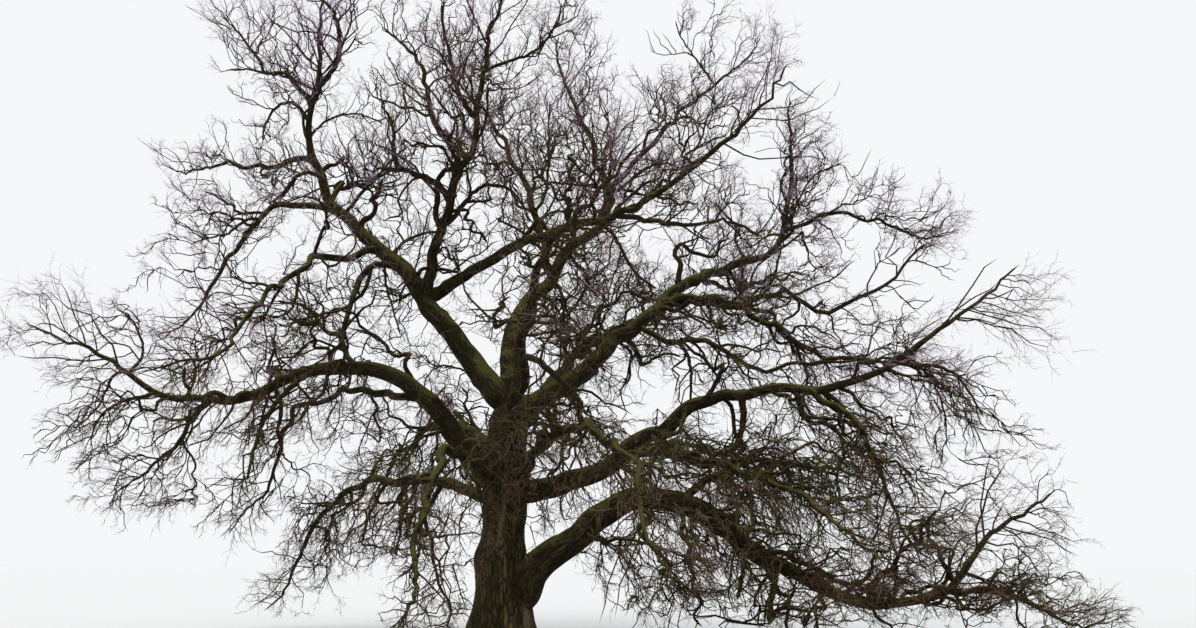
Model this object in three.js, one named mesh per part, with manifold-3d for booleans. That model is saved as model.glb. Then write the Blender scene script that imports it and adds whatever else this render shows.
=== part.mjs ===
// A bare, open-grown oak in winter: one trunk, its boughs, and a mass of leafless twigs at the tip of
// each bough. Millimetres, +Z up. The origin is the middle of the flat cut at ground level. +X points
// right in the front view, and +Y points away from the viewer.

import * as THREE from "three";
import { mergeVertices } from "three/addons/utils/BufferGeometryUtils.js";
import Module from "manifold-3d";

const wasm = await Module();
wasm.setup();
const { Manifold, Mesh } = wasm;

// Driving dimensions
const CLEARANCE = 0.3; // between a mass's stem and the bough or trunk that bears it
const CUT_CLEARANCE = 0.42; // what a limb grows by on every side before it cuts the next one
const TRUNK = {
  length: 4750, // from the ground to the fork
  heading: [0, 0],
  climb: [93, 91, 89, 84], // degrees above level, from foot to fork: a slight lean
  radii: [560, 530, 490, 430, 425, 430, 385, 370], // at even stations from foot to fork
};
const FLARE_RADIUS = 120; // what the root flare adds to the radius at the ground
const FLARE_HEIGHT = 420; // the height at which about a third of the flare is left
const BUTTRESSES = 6; // root swellings round the foot
const BUTTRESS_DEPTH = 0.09; // their depth, as a share of the trunk's radius
const BUTTRESS_HEIGHT = 700; // the height at which about a third of that depth is left
const SHOULDER = 0.7; // the trunk's rounded top, as a share of its radius there
const TRUNK_SIDES = 20;
const TRUNK_STEPS = 10;

const LIMB_TAPER = 1.3; // a limb thins faster near its root than near its tip
const LIMB_CROOK = 12; // most degrees that a step of a limb turns off its line, for oak's elbows
const STEP_LENGTH = 720; // of one straight step of a limb
const FEWEST_STEPS = 4;
const THICK_LIMB = 150; // a limb whose root has at least this radius gets more sides
const THICK_SIDES = 8;
const THIN_SIDES = 5;

const GROUND_ROOM = 200; // no twig reaches lower than this
const CROWN_HEART = new THREE.Vector3(0, 0, 3000); // twigs turn away from this point
const OUTWARD_PULL = 0.3; // how strongly they do
const SPACE_SHIFT = 0.42; // how far past its bough's tip a mass's space is centred, in its radii
const TWIG_ROOM = 12; // air between a twig and a limb, or the edge of its mass's space
const TWIG_SIDES = 3;
const TWIG_CROOK = 16; // most degrees that a step of a twig turns off its line
const STEM = { steps: 3, reach: 1.3, tipShare: 0.4 };
const TWIG = { thinner: 0.45, thinnest: 6, tipShare: 0.5 };
const TWIG_LEVELS = [
  { steps: 2, count: 9, first: 0.1, splay: 56, shorter: 0.84 },
  { steps: 1, count: 2, first: 0.3, splay: 46, shorter: 0.66 },
];
const LENGTH_SPREAD = 0.22; // how much a twig's length varies from its rule, either way
const SPLAY_SPREAD = 12; // degrees that its angle off the stem varies, either way
const TURN = 120; // degrees round the stem from one twig to the next, so that each leaves a flat side
const FIRST_TURN = 30; // the first of the flat sides
const TURN_SPREAD = 26; // degrees that its place round the stem varies, either way
const SHORTER_OUT = 0.45; // how much shorter a twig at a stem's tip is than one at its root
const LAST_TWIG = 0.97; // how far along a stem its last side twig leaves it
const SEAM_TOLERANCE = 1.5; // how far the fused seams of a mass may be straightened
const SAME_POINT = 0.001; // corners nearer to each other than this are one
const TRIES = 12; // draws for a twig that leaves its space or meets a limb, before it is skipped
const FIRST_TWIG_SEED = 100;

// Every bough: what it springs from and how far along, its length, its heading seen from above (0 is +X
// and 90 is +Y) and its climb above level, both at even stations from root to tip, its radius at root
// and tip, and the radius of the space that its mass of twigs fills.
const BOUGHS = {
  leader: {
    on: "trunk", at: 0.95, length: 9300,
    heading: [174, 150], climb: [53, 59, 53, 42, 66, 98],
    girth: [270, 62], spread: 2000,
  },
  middle_bough: {
    on: "leader", at: 0.33, length: 4900,
    heading: [304, 297], climb: [55, 50, 44, 51, 82],
    girth: [130, 50], spread: 1900,
  },
  cross_bough: {
    on: "leader", at: 0.33, length: 7500,
    heading: [334, 312], climb: [29, 7, 5, 21],
    girth: [130, 45], spread: 1800,
  },
  west_upper: {
    on: "leader", at: 0.65, length: 3900,
    heading: [166, 224, 234], climb: [20, -25, -65, -66],
    girth: [80, 40], spread: 1500,
  },
  west_mid: {
    on: "leader", at: 0.5, length: 5300,
    heading: [239, 255], climb: [-9, -22, -31, -40],
    girth: [80, 40], spread: 1700,
  },
  west_high: {
    on: "leader", at: 0.82, length: 3100,
    heading: [154, 148], climb: [9, -1, 12, 13, -6],
    girth: [65, 35], spread: 1700,
  },
  crown_left: {
    on: "leader", at: 0.95, length: 2900,
    heading: [147, 152], climb: [53, 35, 38],
    girth: [60, 35], spread: 1600,
  },
  leader_drop: {
    on: "leader", at: 0.42, length: 3600,
    heading: [236, 252], climb: [13, -36, -63, -59],
    girth: [80, 40], spread: 1400,
  },
  left_limb: {
    on: "trunk", at: 0.62, length: 8400,
    heading: [212, 180], climb: [30, 49, 37, -1, -23, 2, 44],
    girth: [240, 50], spread: 1800,
  },
  left_drop: {
    on: "left_limb", at: 0.8, length: 1600,
    heading: [158, 151], climb: [-30, -38, -32],
    girth: [55, 35], spread: 1400,
  },
  left_inner: {
    on: "left_limb", at: 0.3, length: 4800,
    heading: [149, 140], climb: [3, 14, -16, -65],
    girth: [85, 40], spread: 1600,
  },
  low_left: {
    on: "trunk", at: 0.57, length: 7500,
    heading: [137, 140], climb: [31, 12, 3, -16, -53],
    girth: [140, 50], spread: 1700,
  },
  front_drop: {
    on: "trunk", at: 0.62, length: 6400,
    heading: [244, 276], climb: [28, 3, -20, -35, -44],
    girth: [120, 45], spread: 1300,
  },
  centre_bough: {
    on: "trunk", at: 0.95, length: 10200,
    heading: [119, 62, 17, 120, 161], climb: [75, 57, 39, 64, 71],
    girth: [210, 50], spread: 1800,
  },
  centre_right: {
    on: "centre_bough", at: 0.7, length: 4000,
    heading: [6, 8], climb: [44, 48, 54, 44],
    girth: [80, 35], spread: 1500,
  },
  centre_left: {
    on: "centre_bough", at: 0.4, length: 5700,
    heading: [117, 156], climb: [58, 68, 62, 53, 59],
    girth: [100, 40], spread: 1800,
  },
  right_bough: {
    on: "trunk", at: 0.95, length: 10900,
    heading: [28, 32], climb: [30, 35, 43, 39, 17, 33, 70, 98],
    girth: [220, 50], spread: 1300,
  },
  right_shoulder: {
    on: "right_bough", at: 0.816, length: 3400,
    heading: [11, 23], climb: [27, 26, -1, -7],
    girth: [55, 35], spread: 1500,
  },
  right_arm: {
    on: "right_bough", at: 0.418, length: 5000,
    heading: [334, 319], climb: [9, -24, -32, -28, -1],
    girth: [110, 40], spread: 1600,
  },
  east_limb: {
    on: "trunk", at: 0.6, length: 8900,
    heading: [347, 339], climb: [12, 21, 34, 33, -4, -3, 33, 25],
    girth: [230, 50], spread: 1700,
  },
  east_drop: {
    on: "east_limb", at: 0.72, length: 2400,
    heading: [321, 304], climb: [-32, -41, -66],
    girth: [75, 40], spread: 1500,
  },
  east_under: {
    on: "east_limb", at: 0.3, length: 4600,
    heading: [326, 304], climb: [5, -9, -26, -39],
    girth: [110, 45], spread: 1600,
  },
  low_limb: {
    on: "trunk", at: 0.1, length: 10500,
    heading: [333, 358], climb: [55, 45, 32, -1, -33, -31, -12, 16, 51],
    girth: [340, 60], spread: 1600,
  },
  low_limb_tip: {
    on: "low_limb", at: 0.88, length: 2600,
    heading: [13, 11], climb: [26, 4, -22],
    girth: [55, 35], spread: 1300,
  },
  low_limb_up: {
    on: "low_limb", at: 0.42, length: 3800,
    heading: [36, 33], climb: [32, 10, -13],
    girth: [90, 45], spread: 2000,
  },
  north_bough: {
    on: "trunk", at: 0.85, length: 8800,
    heading: [76, 54], climb: [18, 27, 23, 5],
    girth: [170, 60], spread: 2300,
  },
  south_bough: {
    on: "trunk", at: 0.8, length: 6600,
    heading: [281, 286], climb: [29, 37, 27, 10],
    girth: [150, 50], spread: 2000,
  },
  north_low: {
    on: "trunk", at: 0.7, length: 8800,
    heading: [105, 126], climb: [23, 17, 0, -32],
    girth: [140, 50], spread: 2000,
  },
  south_low: {
    on: "trunk", at: 0.68, length: 7500,
    heading: [299, 284], climb: [16, 8, -5, -24, -41],
    girth: [130, 45], spread: 1600,
  },
};

const WOOD = new THREE.MeshStandardMaterial({ color: 0x463d30, roughness: 0.95, metalness: 0 });
const MOSSY = new THREE.MeshStandardMaterial({ color: 0x4b4a2e, roughness: 0.95, metalness: 0 });
const TWIGGY = new THREE.MeshStandardMaterial({ color: 0x5e5150, roughness: 0.9, metalness: 0 });

// A seeded run of even random numbers, so that every build draws the same tree.
class Dice {
  constructor(seed) {
    this.state = Math.imul(seed + 1, 2654435761) >>> 0;
    this.roll();
    this.roll();
  }
  roll() {
    this.state = (Math.imul(this.state, 1664525) + 1013904223) >>> 0;
    return this.state / 2 ** 32;
  }
  spread(most) {
    return (2 * this.roll() - 1) * most;
  }
  seed() {
    return Math.floor(this.roll() * 2 ** 24);
  }
}

const radians = (degrees) => THREE.MathUtils.degToRad(degrees);

// The value of an evenly spaced profile at a share of the way along it.
function profile(values, share) {
  const place = Math.min(Math.max(share, 0), 1) * (values.length - 1);
  const below = Math.min(Math.floor(place), values.length - 2);
  return THREE.MathUtils.lerp(values[below], values[below + 1], place - below);
}

function headed(heading, climb) {
  const level = Math.cos(radians(climb));
  return new THREE.Vector3(
    level * Math.cos(radians(heading)),
    level * Math.sin(radians(heading)),
    Math.sin(radians(climb)),
  );
}

// The points of a limb: even steps that follow its heading and climb, but turn off them to one side and
// then the other, as an oak's limbs do.
function limbPoints(root, { length, heading, climb }, steps, crook, dice) {
  const points = [root.clone()];
  for (let i = 0; i < steps; i++) {
    const share = (i + 0.5) / steps;
    const swing = i % 2 === 0 ? crook : -crook;
    const turned = profile(heading, share) + swing * dice.roll();
    const raised = profile(climb, share) + swing * dice.spread(1);
    points.push(points[i].clone().addScaledVector(headed(turned, raised), length / steps));
  }
  return points;
}

function pointAt(points, share) {
  const place = Math.min(Math.max(share, 0), 1) * (points.length - 1);
  const below = Math.min(Math.floor(place), points.length - 2);
  return points[below].clone().lerp(points[below + 1], place - below);
}

function directionAt(points, share) {
  const below = Math.min(Math.floor(share * (points.length - 1)), points.length - 2);
  return points[below + 1].clone().sub(points[below]).normalize();
}

// A direction square to another, as steady as possible while that one turns.
function squareTo(direction, last = new THREE.Vector3(1, 0, 0)) {
  const side = last.clone().addScaledVector(direction, -last.dot(direction));
  if (side.length() < 0.1) side.set(0, 1, 0).addScaledVector(direction, -direction.y);
  return side.normalize();
}

// At each point of a path: the direction along it and one square to that, with no twist between them.
function ringsOf(points) {
  let side = undefined;
  return points.map((_, i) => {
    const before = points[Math.max(i - 1, 0)];
    const after = points[Math.min(i + 1, points.length - 1)];
    const along = after.clone().sub(before).normalize();
    side = squareTo(along, side);
    return { along, side };
  });
}

// The direction out from a ring's middle at an angle round it.
function around({ along, side }, angle) {
  const other = side.clone().cross(along);
  return side.clone().multiplyScalar(Math.cos(angle)).addScaledVector(other, Math.sin(angle));
}

// A closed tapering tube: a cylinder or cone whose rings are moved onto the points. radiusAt gives the
// radius for a share of the way along and an angle round, and a last radius of 0 makes a pointed end.
function tube(points, sides, radiusAt, pointed = false) {
  const steps = points.length - 1;
  const geometry = pointed
    ? new THREE.ConeGeometry(1, 1, sides, steps)
    : new THREE.CylinderGeometry(1, 1, 1, sides, steps);
  const rings = ringsOf(points);
  const position = geometry.attributes.position;
  const moved = new THREE.Vector3();
  for (let v = 0; v < position.count; v++) {
    const ring = Math.round((position.getY(v) + 0.5) * steps);
    const out = Math.hypot(position.getX(v), position.getZ(v));
    const angle = Math.atan2(position.getZ(v), position.getX(v));
    const radius = out < 1e-6 ? 0 : radiusAt(ring / steps, angle);
    moved.copy(points[ring]).addScaledVector(around(rings[ring], angle), radius);
    position.setXYZ(v, moved.x, moved.y, moved.z);
  }
  return geometry;
}

function solidOf(geometry) {
  geometry.deleteAttribute("normal");
  geometry.deleteAttribute("uv");
  const merged = mergeVertices(geometry, SAME_POINT);
  const triVerts = new Uint32Array(merged.index.array);
  const vertProperties = merged.attributes.position.array;
  return new Manifold(new Mesh({ numProp: 3, vertProperties, triVerts }));
}

function meshOf(solid, name, material) {
  const { numProp, vertProperties, triVerts } = solid.getMesh();
  const geometry = new THREE.BufferGeometry();
  geometry.setAttribute("position", new THREE.BufferAttribute(vertProperties, numProp));
  geometry.setIndex(new THREE.BufferAttribute(triVerts, 1));
  geometry.computeVertexNormals();
  const mesh = new THREE.Mesh(geometry, material);
  mesh.name = name;
  return mesh;
}

function largestPiece(solid) {
  const pieces = solid.decompose();
  return pieces.reduce((best, piece) => (piece.volume() > best.volume() ? piece : best));
}

function limbRadius([root, tip], share) {
  return tip + (root - tip) * (1 - share) ** LIMB_TAPER;
}

// The trunk's radius: its girth, the root flare that dies away upwards, and buttresses round the foot.
function trunkRadius(share, angle) {
  const height = share * TRUNK.length;
  const girth = profile(TRUNK.radii, share) + FLARE_RADIUS * Math.exp(-height / FLARE_HEIGHT);
  const swelling = BUTTRESS_DEPTH * Math.exp(-height / BUTTRESS_HEIGHT);
  const shoulder = share === 1 ? SHOULDER : 1;
  return girth * shoulder * (1 + swelling * Math.cos(BUTTRESSES * angle));
}

// The same points with both ends moved outwards.
function lengthened(points, by) {
  const longer = points.map((point) => point.clone());
  longer[0].addScaledVector(directionAt(points, 0), -by);
  longer.at(-1).addScaledVector(directionAt(points, 1), by);
  return longer;
}

// The trunk's foot is level, so its lowest ring is laid flat on the ground.
function trunkSolid(points, grown) {
  const radiusAt = (share, angle) => trunkRadius(share, angle) + grown;
  const geometry = tube(lengthened(points, grown), TRUNK_SIDES, radiusAt);
  const position = geometry.attributes.position;
  const halfStep = TRUNK.length / TRUNK_STEPS / 2;
  for (let v = 0; v < position.count; v++) {
    if (position.getZ(v) < halfStep) position.setZ(v, 0);
  }
  return solidOf(geometry);
}

function limbSolid({ points, girth }, grown) {
  const sides = girth[0] >= THICK_LIMB ? THICK_SIDES : THIN_SIDES;
  return solidOf(tube(lengthened(points, grown), sides, (share) => limbRadius(girth, share) + grown));
}

// Skeleton: the points of the trunk and of every bough
const limbs = {
  trunk: { points: limbPoints(new THREE.Vector3(), TRUNK, TRUNK_STEPS, 0, new Dice(0)) },
};
Object.entries(BOUGHS).forEach(([name, bough], index) => {
  const root = pointAt(limbs[bough.on].points, bough.at);
  const steps = Math.max(FEWEST_STEPS, Math.round(bough.length / STEP_LENGTH));
  const points = limbPoints(root, bough, steps, LIMB_CROOK, new Dice(index + 1));
  limbs[name] = { points, girth: bough.girth };
});

// The ball of space round each bough's tip that its mass may fill
const spaces = Object.entries(BOUGHS).map(([name, { spread }]) => {
  const { points } = limbs[name];
  const ahead = directionAt(points, 1);
  const centre = points.at(-1).clone().addScaledVector(ahead, SPACE_SHIFT * spread);
  return { name, centre, radius: spread };
});

// True where a twig of this radius may be: in its mass's ball, on its own side of the plane between
// that ball and each other one, and clear of the ground.
function inSpace(point, radius, space) {
  if (point.z < GROUND_ROOM + radius) return false;
  if (point.distanceTo(space.centre) > space.radius - radius) return false;
  const own = point.distanceToSquared(space.centre) - space.radius ** 2;
  return spaces.every((other) => {
    if (other === space) return true;
    const theirs = point.distanceToSquared(other.centre) - other.radius ** 2;
    const apart = 2 * space.centre.distanceTo(other.centre);
    return (theirs - own) / apart > radius + TWIG_ROOM;
  });
}

// The gap between two straight stretches a-b and c-d.
function gapBetween(a, b, c, d) {
  const ab = b.clone().sub(a);
  const cd = d.clone().sub(c);
  const between = a.clone().sub(c);
  const [aa, cc, ac] = [ab.dot(ab), cd.dot(cd), ab.dot(cd)];
  const [ad, bd] = [ab.dot(between), cd.dot(between)];
  const clamp = (value) => Math.min(Math.max(value, 0), 1);
  const spread = aa * cc - ac * ac;
  const first = spread > 1e-9 ? clamp((ac * bd - ad * cc) / spread) : 0;
  const second = clamp((ac * first + bd) / cc);
  const again = clamp((ac * second - ad) / aa);
  return a.clone().addScaledVector(ab, again).distanceTo(c.clone().addScaledVector(cd, second));
}

const stretches = Object.entries(limbs).flatMap(([name, { points, girth }]) =>
  points.slice(1).map((end, i) => {
    const share = i / (points.length - 1);
    const radius = name === "trunk" ? trunkRadius(share, 0) : limbRadius(girth, share);
    return { name, start: points[i], end, radius };
  }),
);

// True where a straight piece of twig touches no limb, apart from one that it may spring from.
function clearOfLimbs(start, end, radius, spared) {
  return stretches.every((limb) => {
    if (limb.name === spared) return true;
    return gapBetween(start, end, limb.start, limb.end) > radius + limb.radius + TWIG_ROOM;
  });
}

// A direction turned a little towards the outside of the crown.
function turnedOut(direction, from) {
  const outward = from.clone().sub(CROWN_HEART).normalize();
  return direction.clone().addScaledVector(outward, OUTWARD_PULL).normalize();
}

// The points of a twig: even steps from its root, each after the first a little off the line.
function twigPoints(root, direction, length, steps, dice) {
  const points = [root.clone()];
  let ahead = direction;
  for (let i = 0; i < steps; i++) {
    const turn = new THREE.Vector3(dice.spread(1), dice.spread(1), dice.spread(1));
    if (i > 0) {
      ahead = turnedOut(ahead, points[i]).addScaledVector(turn, Math.tan(radians(TWIG_CROOK)));
      ahead.normalize();
    }
    points.push(points[i].clone().addScaledVector(ahead, length / steps));
  }
  return points;
}

// Each new draw is a little shorter than the one before it.
function cutBack(attempt) {
  return 1 - attempt / (2 * TRIES);
}

function twigRadius({ radius, tipShare }, share) {
  return radius * THREE.MathUtils.lerp(1, tipShare, share);
}

// Draws a twig until one stays in its space and touches no limb. Gives nothing after too many tries.
function fittingTwig(draw, radius, space, spared) {
  for (let attempt = 0; attempt < TRIES; attempt++) {
    const points = draw(attempt);
    const inside = points.slice(1).every((point) => inSpace(point, radius, space));
    const clear = points
      .slice(1)
      .every((end, i) => clearOfLimbs(points[i], end, radius, spared));
    if (inside && clear) return points;
  }
  return undefined;
}

// The side twigs of one stem or twig, and theirs in turn, down to the last level.
function sideTwigs(parent, space, level, seed) {
  const rule = TWIG_LEVELS[level];
  if (!rule) return [];
  const dice = new Dice(seed);
  const rings = ringsOf(parent.points);
  const twigs = [];
  for (let k = 0; k < rule.count; k++) {
    const share = THREE.MathUtils.lerp(rule.first, LAST_TWIG, k / (rule.count - 1));
    const shorter = rule.shorter * (1 - SHORTER_OUT * share) * (1 + dice.spread(LENGTH_SPREAD));
    const length = parent.length * shorter;
    const radius = Math.max(twigRadius(parent, share) * TWIG.thinner, TWIG.thinnest);
    const root = pointAt(parent.points, share);
    const along = directionAt(parent.points, share);
    const below = Math.floor(share * (parent.points.length - 1));
    const ring = { along, side: squareTo(along, rings[below].side) };
    const own = dice.seed();
    const draw = (attempt) => {
      const again = new Dice(own + attempt);
      const round = radians(FIRST_TURN + (k + attempt) * TURN + again.spread(TURN_SPREAD));
      const splay = radians(rule.splay + again.spread(SPLAY_SPREAD));
      const direction = around(ring, round).multiplyScalar(Math.sin(splay));
      direction.addScaledVector(along, Math.cos(splay));
      return twigPoints(root, turnedOut(direction, root), length * cutBack(attempt), rule.steps, again);
    };
    const points = fittingTwig(draw, radius, space);
    if (!points) continue;
    const twig = { points, length, radius, tipShare: TWIG.tipShare };
    twigs.push(twig, ...sideTwigs(twig, space, level + 1, own));
  }
  return twigs;
}

function stemOf(space, seed) {
  const { points: limb, girth } = limbs[space.name];
  const ahead = directionAt(limb, 1);
  const root = limb.at(-1).clone().addScaledVector(ahead, CLEARANCE);
  const length = space.radius * STEM.reach;
  const draw = (attempt) =>
    twigPoints(root, ahead, length * cutBack(attempt), STEM.steps, new Dice(seed + attempt));
  const points = fittingTwig(draw, girth[1], space, space.name);
  if (!points) throw new Error(space.name + ": its stem finds no room");
  return { points, length, radius: girth[1], tipShare: STEM.tipShare };
}

// One mass of twigs as a single solid: the stem with every side twig fused on, each root sunk to the
// middle of what bears it.
function massSolid(space, seed) {
  const stem = stemOf(space, seed);
  const twigs = sideTwigs(stem, space, 0, seed);
  const solids = [stem, ...twigs].map((twig) => {
    const radiusAt = (share) => twigRadius(twig, share);
    return solidOf(tube(twig.points, TWIG_SIDES, radiusAt, twig !== stem));
  });
  return largestPiece(Manifold.union(solids).simplify(SEAM_TOLERANCE));
}

const tree = new THREE.Group();
const placed = [trunkSolid(limbs.trunk.points, CUT_CLEARANCE)];
tree.add(meshOf(trunkSolid(limbs.trunk.points, 0), "trunk", WOOD));

// Each bough is cut clear of the trunk and of every bough made before it.
for (const [name, bough] of Object.entries(BOUGHS)) {
  const limb = limbs[name];
  const cut = placed.reduce((solid, earlier) => solid.subtract(earlier), limbSolid(limb, 0));
  placed.push(limbSolid(limb, CUT_CLEARANCE));
  tree.add(meshOf(largestPiece(cut), name, bough.girth[0] >= THICK_LIMB ? MOSSY : WOOD));
}
spaces.forEach((space, index) => {
  tree.add(meshOf(massSolid(space, FIRST_TWIG_SEED + index), "twigs_" + space.name, TWIGGY));
});

export default tree;
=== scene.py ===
# %% [markdown]
# # A bare oak in winter
# An oak that stood alone spreads wider than it is tall. Its bark is ridged, moss lies on the upper sides
# of its limbs, and thousands of leafless twigs make a haze against the sky. This lesson grows it in four
# steps: the limbs, the bark on them, the twigs, and the lichen that hangs from them.
#
# The solid model is loaded first. It fixes where the trunk and the boughs are, so everything below grows
# within its reach and nothing needs fitting afterwards.

# %% Load the fixed model
import math
from typing import NamedTuple

import bpy
import numpy as np
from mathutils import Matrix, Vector


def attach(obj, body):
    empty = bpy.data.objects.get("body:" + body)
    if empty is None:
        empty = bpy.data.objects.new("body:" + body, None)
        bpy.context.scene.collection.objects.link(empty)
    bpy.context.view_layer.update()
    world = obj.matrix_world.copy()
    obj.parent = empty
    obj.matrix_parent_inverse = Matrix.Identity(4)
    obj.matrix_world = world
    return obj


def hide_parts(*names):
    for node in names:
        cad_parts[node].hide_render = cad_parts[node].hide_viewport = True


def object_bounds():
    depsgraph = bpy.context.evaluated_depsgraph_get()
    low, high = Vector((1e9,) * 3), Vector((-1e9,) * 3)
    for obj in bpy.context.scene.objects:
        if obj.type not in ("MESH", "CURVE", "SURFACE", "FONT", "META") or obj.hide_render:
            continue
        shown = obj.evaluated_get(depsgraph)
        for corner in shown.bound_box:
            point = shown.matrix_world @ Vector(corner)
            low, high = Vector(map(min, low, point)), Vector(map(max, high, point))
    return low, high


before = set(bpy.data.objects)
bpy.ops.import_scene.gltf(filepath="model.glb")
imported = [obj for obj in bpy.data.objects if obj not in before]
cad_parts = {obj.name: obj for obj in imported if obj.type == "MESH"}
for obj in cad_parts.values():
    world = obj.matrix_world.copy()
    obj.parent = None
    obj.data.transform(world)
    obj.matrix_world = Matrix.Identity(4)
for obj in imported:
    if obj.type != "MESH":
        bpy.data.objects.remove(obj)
CAD_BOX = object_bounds()
print("solid model:", len(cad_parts), "nodes, box", [list(corner) for corner in CAD_BOX])

# %% [markdown]
# ## The camera
# The picture is taken from eye height, 1.6 m up and 23.5 m in front of the trunk, with the camera tilted
# up enough to take in most of the crown. A person's eye is level with the horizon, which fixes the tilt.

# %% Camera
EYE_PLACE = (1.795, -23.5, 1.6)
EYE_TILT = math.radians(11.9)
SENSOR_WIDTH = 36.0
LENS = 35.34
FAR_CLIP = 300.0

camera_data = bpy.data.cameras.new("eye_level")
camera_data.sensor_width = SENSOR_WIDTH
camera_data.lens = LENS
camera_data.clip_end = FAR_CLIP
camera = bpy.data.objects.new("eye_level", camera_data)
camera.location = EYE_PLACE
camera.rotation_euler = (math.pi / 2 + EYE_TILT, 0.0, 0.0)
bpy.context.scene.collection.objects.link(camera)
bpy.context.scene.camera = camera
print("camera at", EYE_PLACE, "tilted up", round(math.degrees(EYE_TILT), 1), "degrees")

# %% [markdown]
# ## The limbs
# A bough of an oak isn't straight: it leaves its parent at one angle, sags or rises, and turns a little
# one way and then the other. Here each bough is one row of a table: what it springs from and how far along
# it, its length, its heading seen from above and its climb above level, its girth, and how wide the twigs
# at its tip spread. Short profiles of two to nine angles describe a limb far better than lists of points,
# because one angle can be changed without moving everything beyond it by hand. Most of these numbers
# weren't chosen by hand: points along each limb were read off the photo by eye, each with a guessed depth,
# and a separate fitting program turned them into angles, lengths and places. Twelve rows were changed
# later, one by one or to suit a shorter right_bough. The girths and the spreads were given one by one.

# %% The trunk and the boughs
def course(on, at, length, heading, climb, girth, spread=None):
    """One limb, in metres and degrees. girth is its radius at root and tip, and spread that of its twigs."""
    return dict(on=on, at=at, length=length, heading=heading, climb=climb, girth=girth, spread=spread)


TRUNK = {
    "length": 4.75,
    "heading": [0, 0],
    "climb": [93, 91, 89, 84],
    "radii": [0.56, 0.53, 0.49, 0.43, 0.425, 0.43, 0.385, 0.37],
}
BOUGHS = {
    "leader": course("trunk", 0.95, 9.3, [174, 150], [53, 59, 53, 42, 66, 98], (0.27, 0.062), 2.0),
    "middle_bough": course("leader", 0.33, 4.9, [304, 297], [55, 50, 44, 51, 82], (0.13, 0.05), 1.9),
    "cross_bough": course("leader", 0.33, 7.5, [334, 312], [29, 7, 5, 21], (0.13, 0.045), 1.8),
    "west_upper": course("leader", 0.65, 3.9, [166, 224, 234], [20, -25, -65, -66], (0.08, 0.04), 1.5),
    "west_mid": course("leader", 0.5, 5.3, [239, 255], [-9, -22, -31, -40], (0.08, 0.04), 1.7),
    "west_high": course("leader", 0.82, 3.1, [154, 148], [9, -1, 12, 13, -6], (0.065, 0.035), 1.7),
    "crown_left": course("leader", 0.95, 2.9, [147, 152], [53, 35, 38], (0.06, 0.035), 1.6),
    "leader_drop": course("leader", 0.42, 3.6, [236, 252], [13, -36, -63, -59], (0.08, 0.04), 1.4),
    "left_limb": course("trunk", 0.62, 8.4, [212, 180], [30, 49, 37, -1, -23, 2, 44], (0.24, 0.05), 1.8),
    "left_drop": course("left_limb", 0.8, 1.6, [158, 151], [-30, -38, -32], (0.055, 0.035), 1.4),
    "left_inner": course("left_limb", 0.3, 4.8, [149, 140], [3, 14, -16, -65], (0.085, 0.04), 1.6),
    "low_left": course("trunk", 0.57, 7.5, [137, 140], [31, 12, 3, -16, -53], (0.14, 0.05), 1.7),
    "front_drop": course("trunk", 0.62, 6.4, [244, 276], [28, 3, -20, -35, -44], (0.12, 0.045), 1.3),
    "centre_bough": course(
        "trunk", 0.95, 10.2, [119, 62, 17, 120, 161], [75, 57, 39, 64, 71], (0.21, 0.05), 1.8),
    "centre_right": course("centre_bough", 0.7, 4.0, [6, 8], [44, 48, 54, 44], (0.08, 0.035), 1.5),
    "centre_left": course("centre_bough", 0.4, 5.7, [117, 156], [58, 68, 62, 53, 59], (0.1, 0.04), 1.8),
    "right_bough": course(
        "trunk", 0.95, 10.9, [28, 32], [30, 35, 43, 39, 17, 33, 70, 98], (0.22, 0.05), 1.3),
    "right_shoulder": course("right_bough", 0.816, 3.4, [11, 23], [27, 26, -1, -7], (0.055, 0.035), 1.5),
    "right_arm": course("right_bough", 0.418, 5.0, [334, 319], [9, -24, -32, -28, -1], (0.11, 0.04), 1.6),
    "east_limb": course("trunk", 0.6, 8.9, [347, 339], [12, 21, 34, 33, -4, -3, 33, 25], (0.23, 0.05), 1.7),
    "east_drop": course("east_limb", 0.72, 2.4, [321, 304], [-32, -41, -66], (0.075, 0.04), 1.5),
    "east_under": course("east_limb", 0.3, 4.6, [326, 304], [5, -9, -26, -39], (0.11, 0.045), 1.6),
    "low_limb": course(
        "trunk", 0.1, 10.5, [333, 358], [55, 45, 32, -1, -33, -31, -12, 16, 51], (0.34, 0.06), 1.6),
    "low_limb_tip": course("low_limb", 0.88, 2.6, [13, 11], [26, 4, -22], (0.055, 0.035), 1.3),
    "low_limb_up": course("low_limb", 0.42, 3.8, [36, 33], [32, 10, -13], (0.09, 0.045), 2.0),
    "north_bough": course("trunk", 0.85, 8.8, [76, 54], [18, 27, 23, 5], (0.17, 0.06), 2.3),
    "south_bough": course("trunk", 0.8, 6.6, [281, 286], [29, 37, 27, 10], (0.15, 0.05), 2.0),
    "north_low": course("trunk", 0.7, 8.8, [105, 126], [23, 17, 0, -32], (0.14, 0.05), 2.0),
    "south_low": course("trunk", 0.68, 7.5, [299, 284], [16, 8, -5, -24, -41], (0.13, 0.045), 1.6),
}
print(len(BOUGHS), "boughs, together", round(sum(b["length"] for b in BOUGHS.values())), "m long")

# %% [markdown]
# A tree needs chance, but the same chance every time. This small generator of even random numbers gives
# each limb and twig its own seed, so a change to one leaves all the others as they were.

# %% Seeded chance
ROLL_RANGE = 2**32
SEED_RANGE = 2**24
ROLL_FACTOR, ROLL_STEP = 1664525, 1013904223
SCRAMBLE = 2654435761


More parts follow.
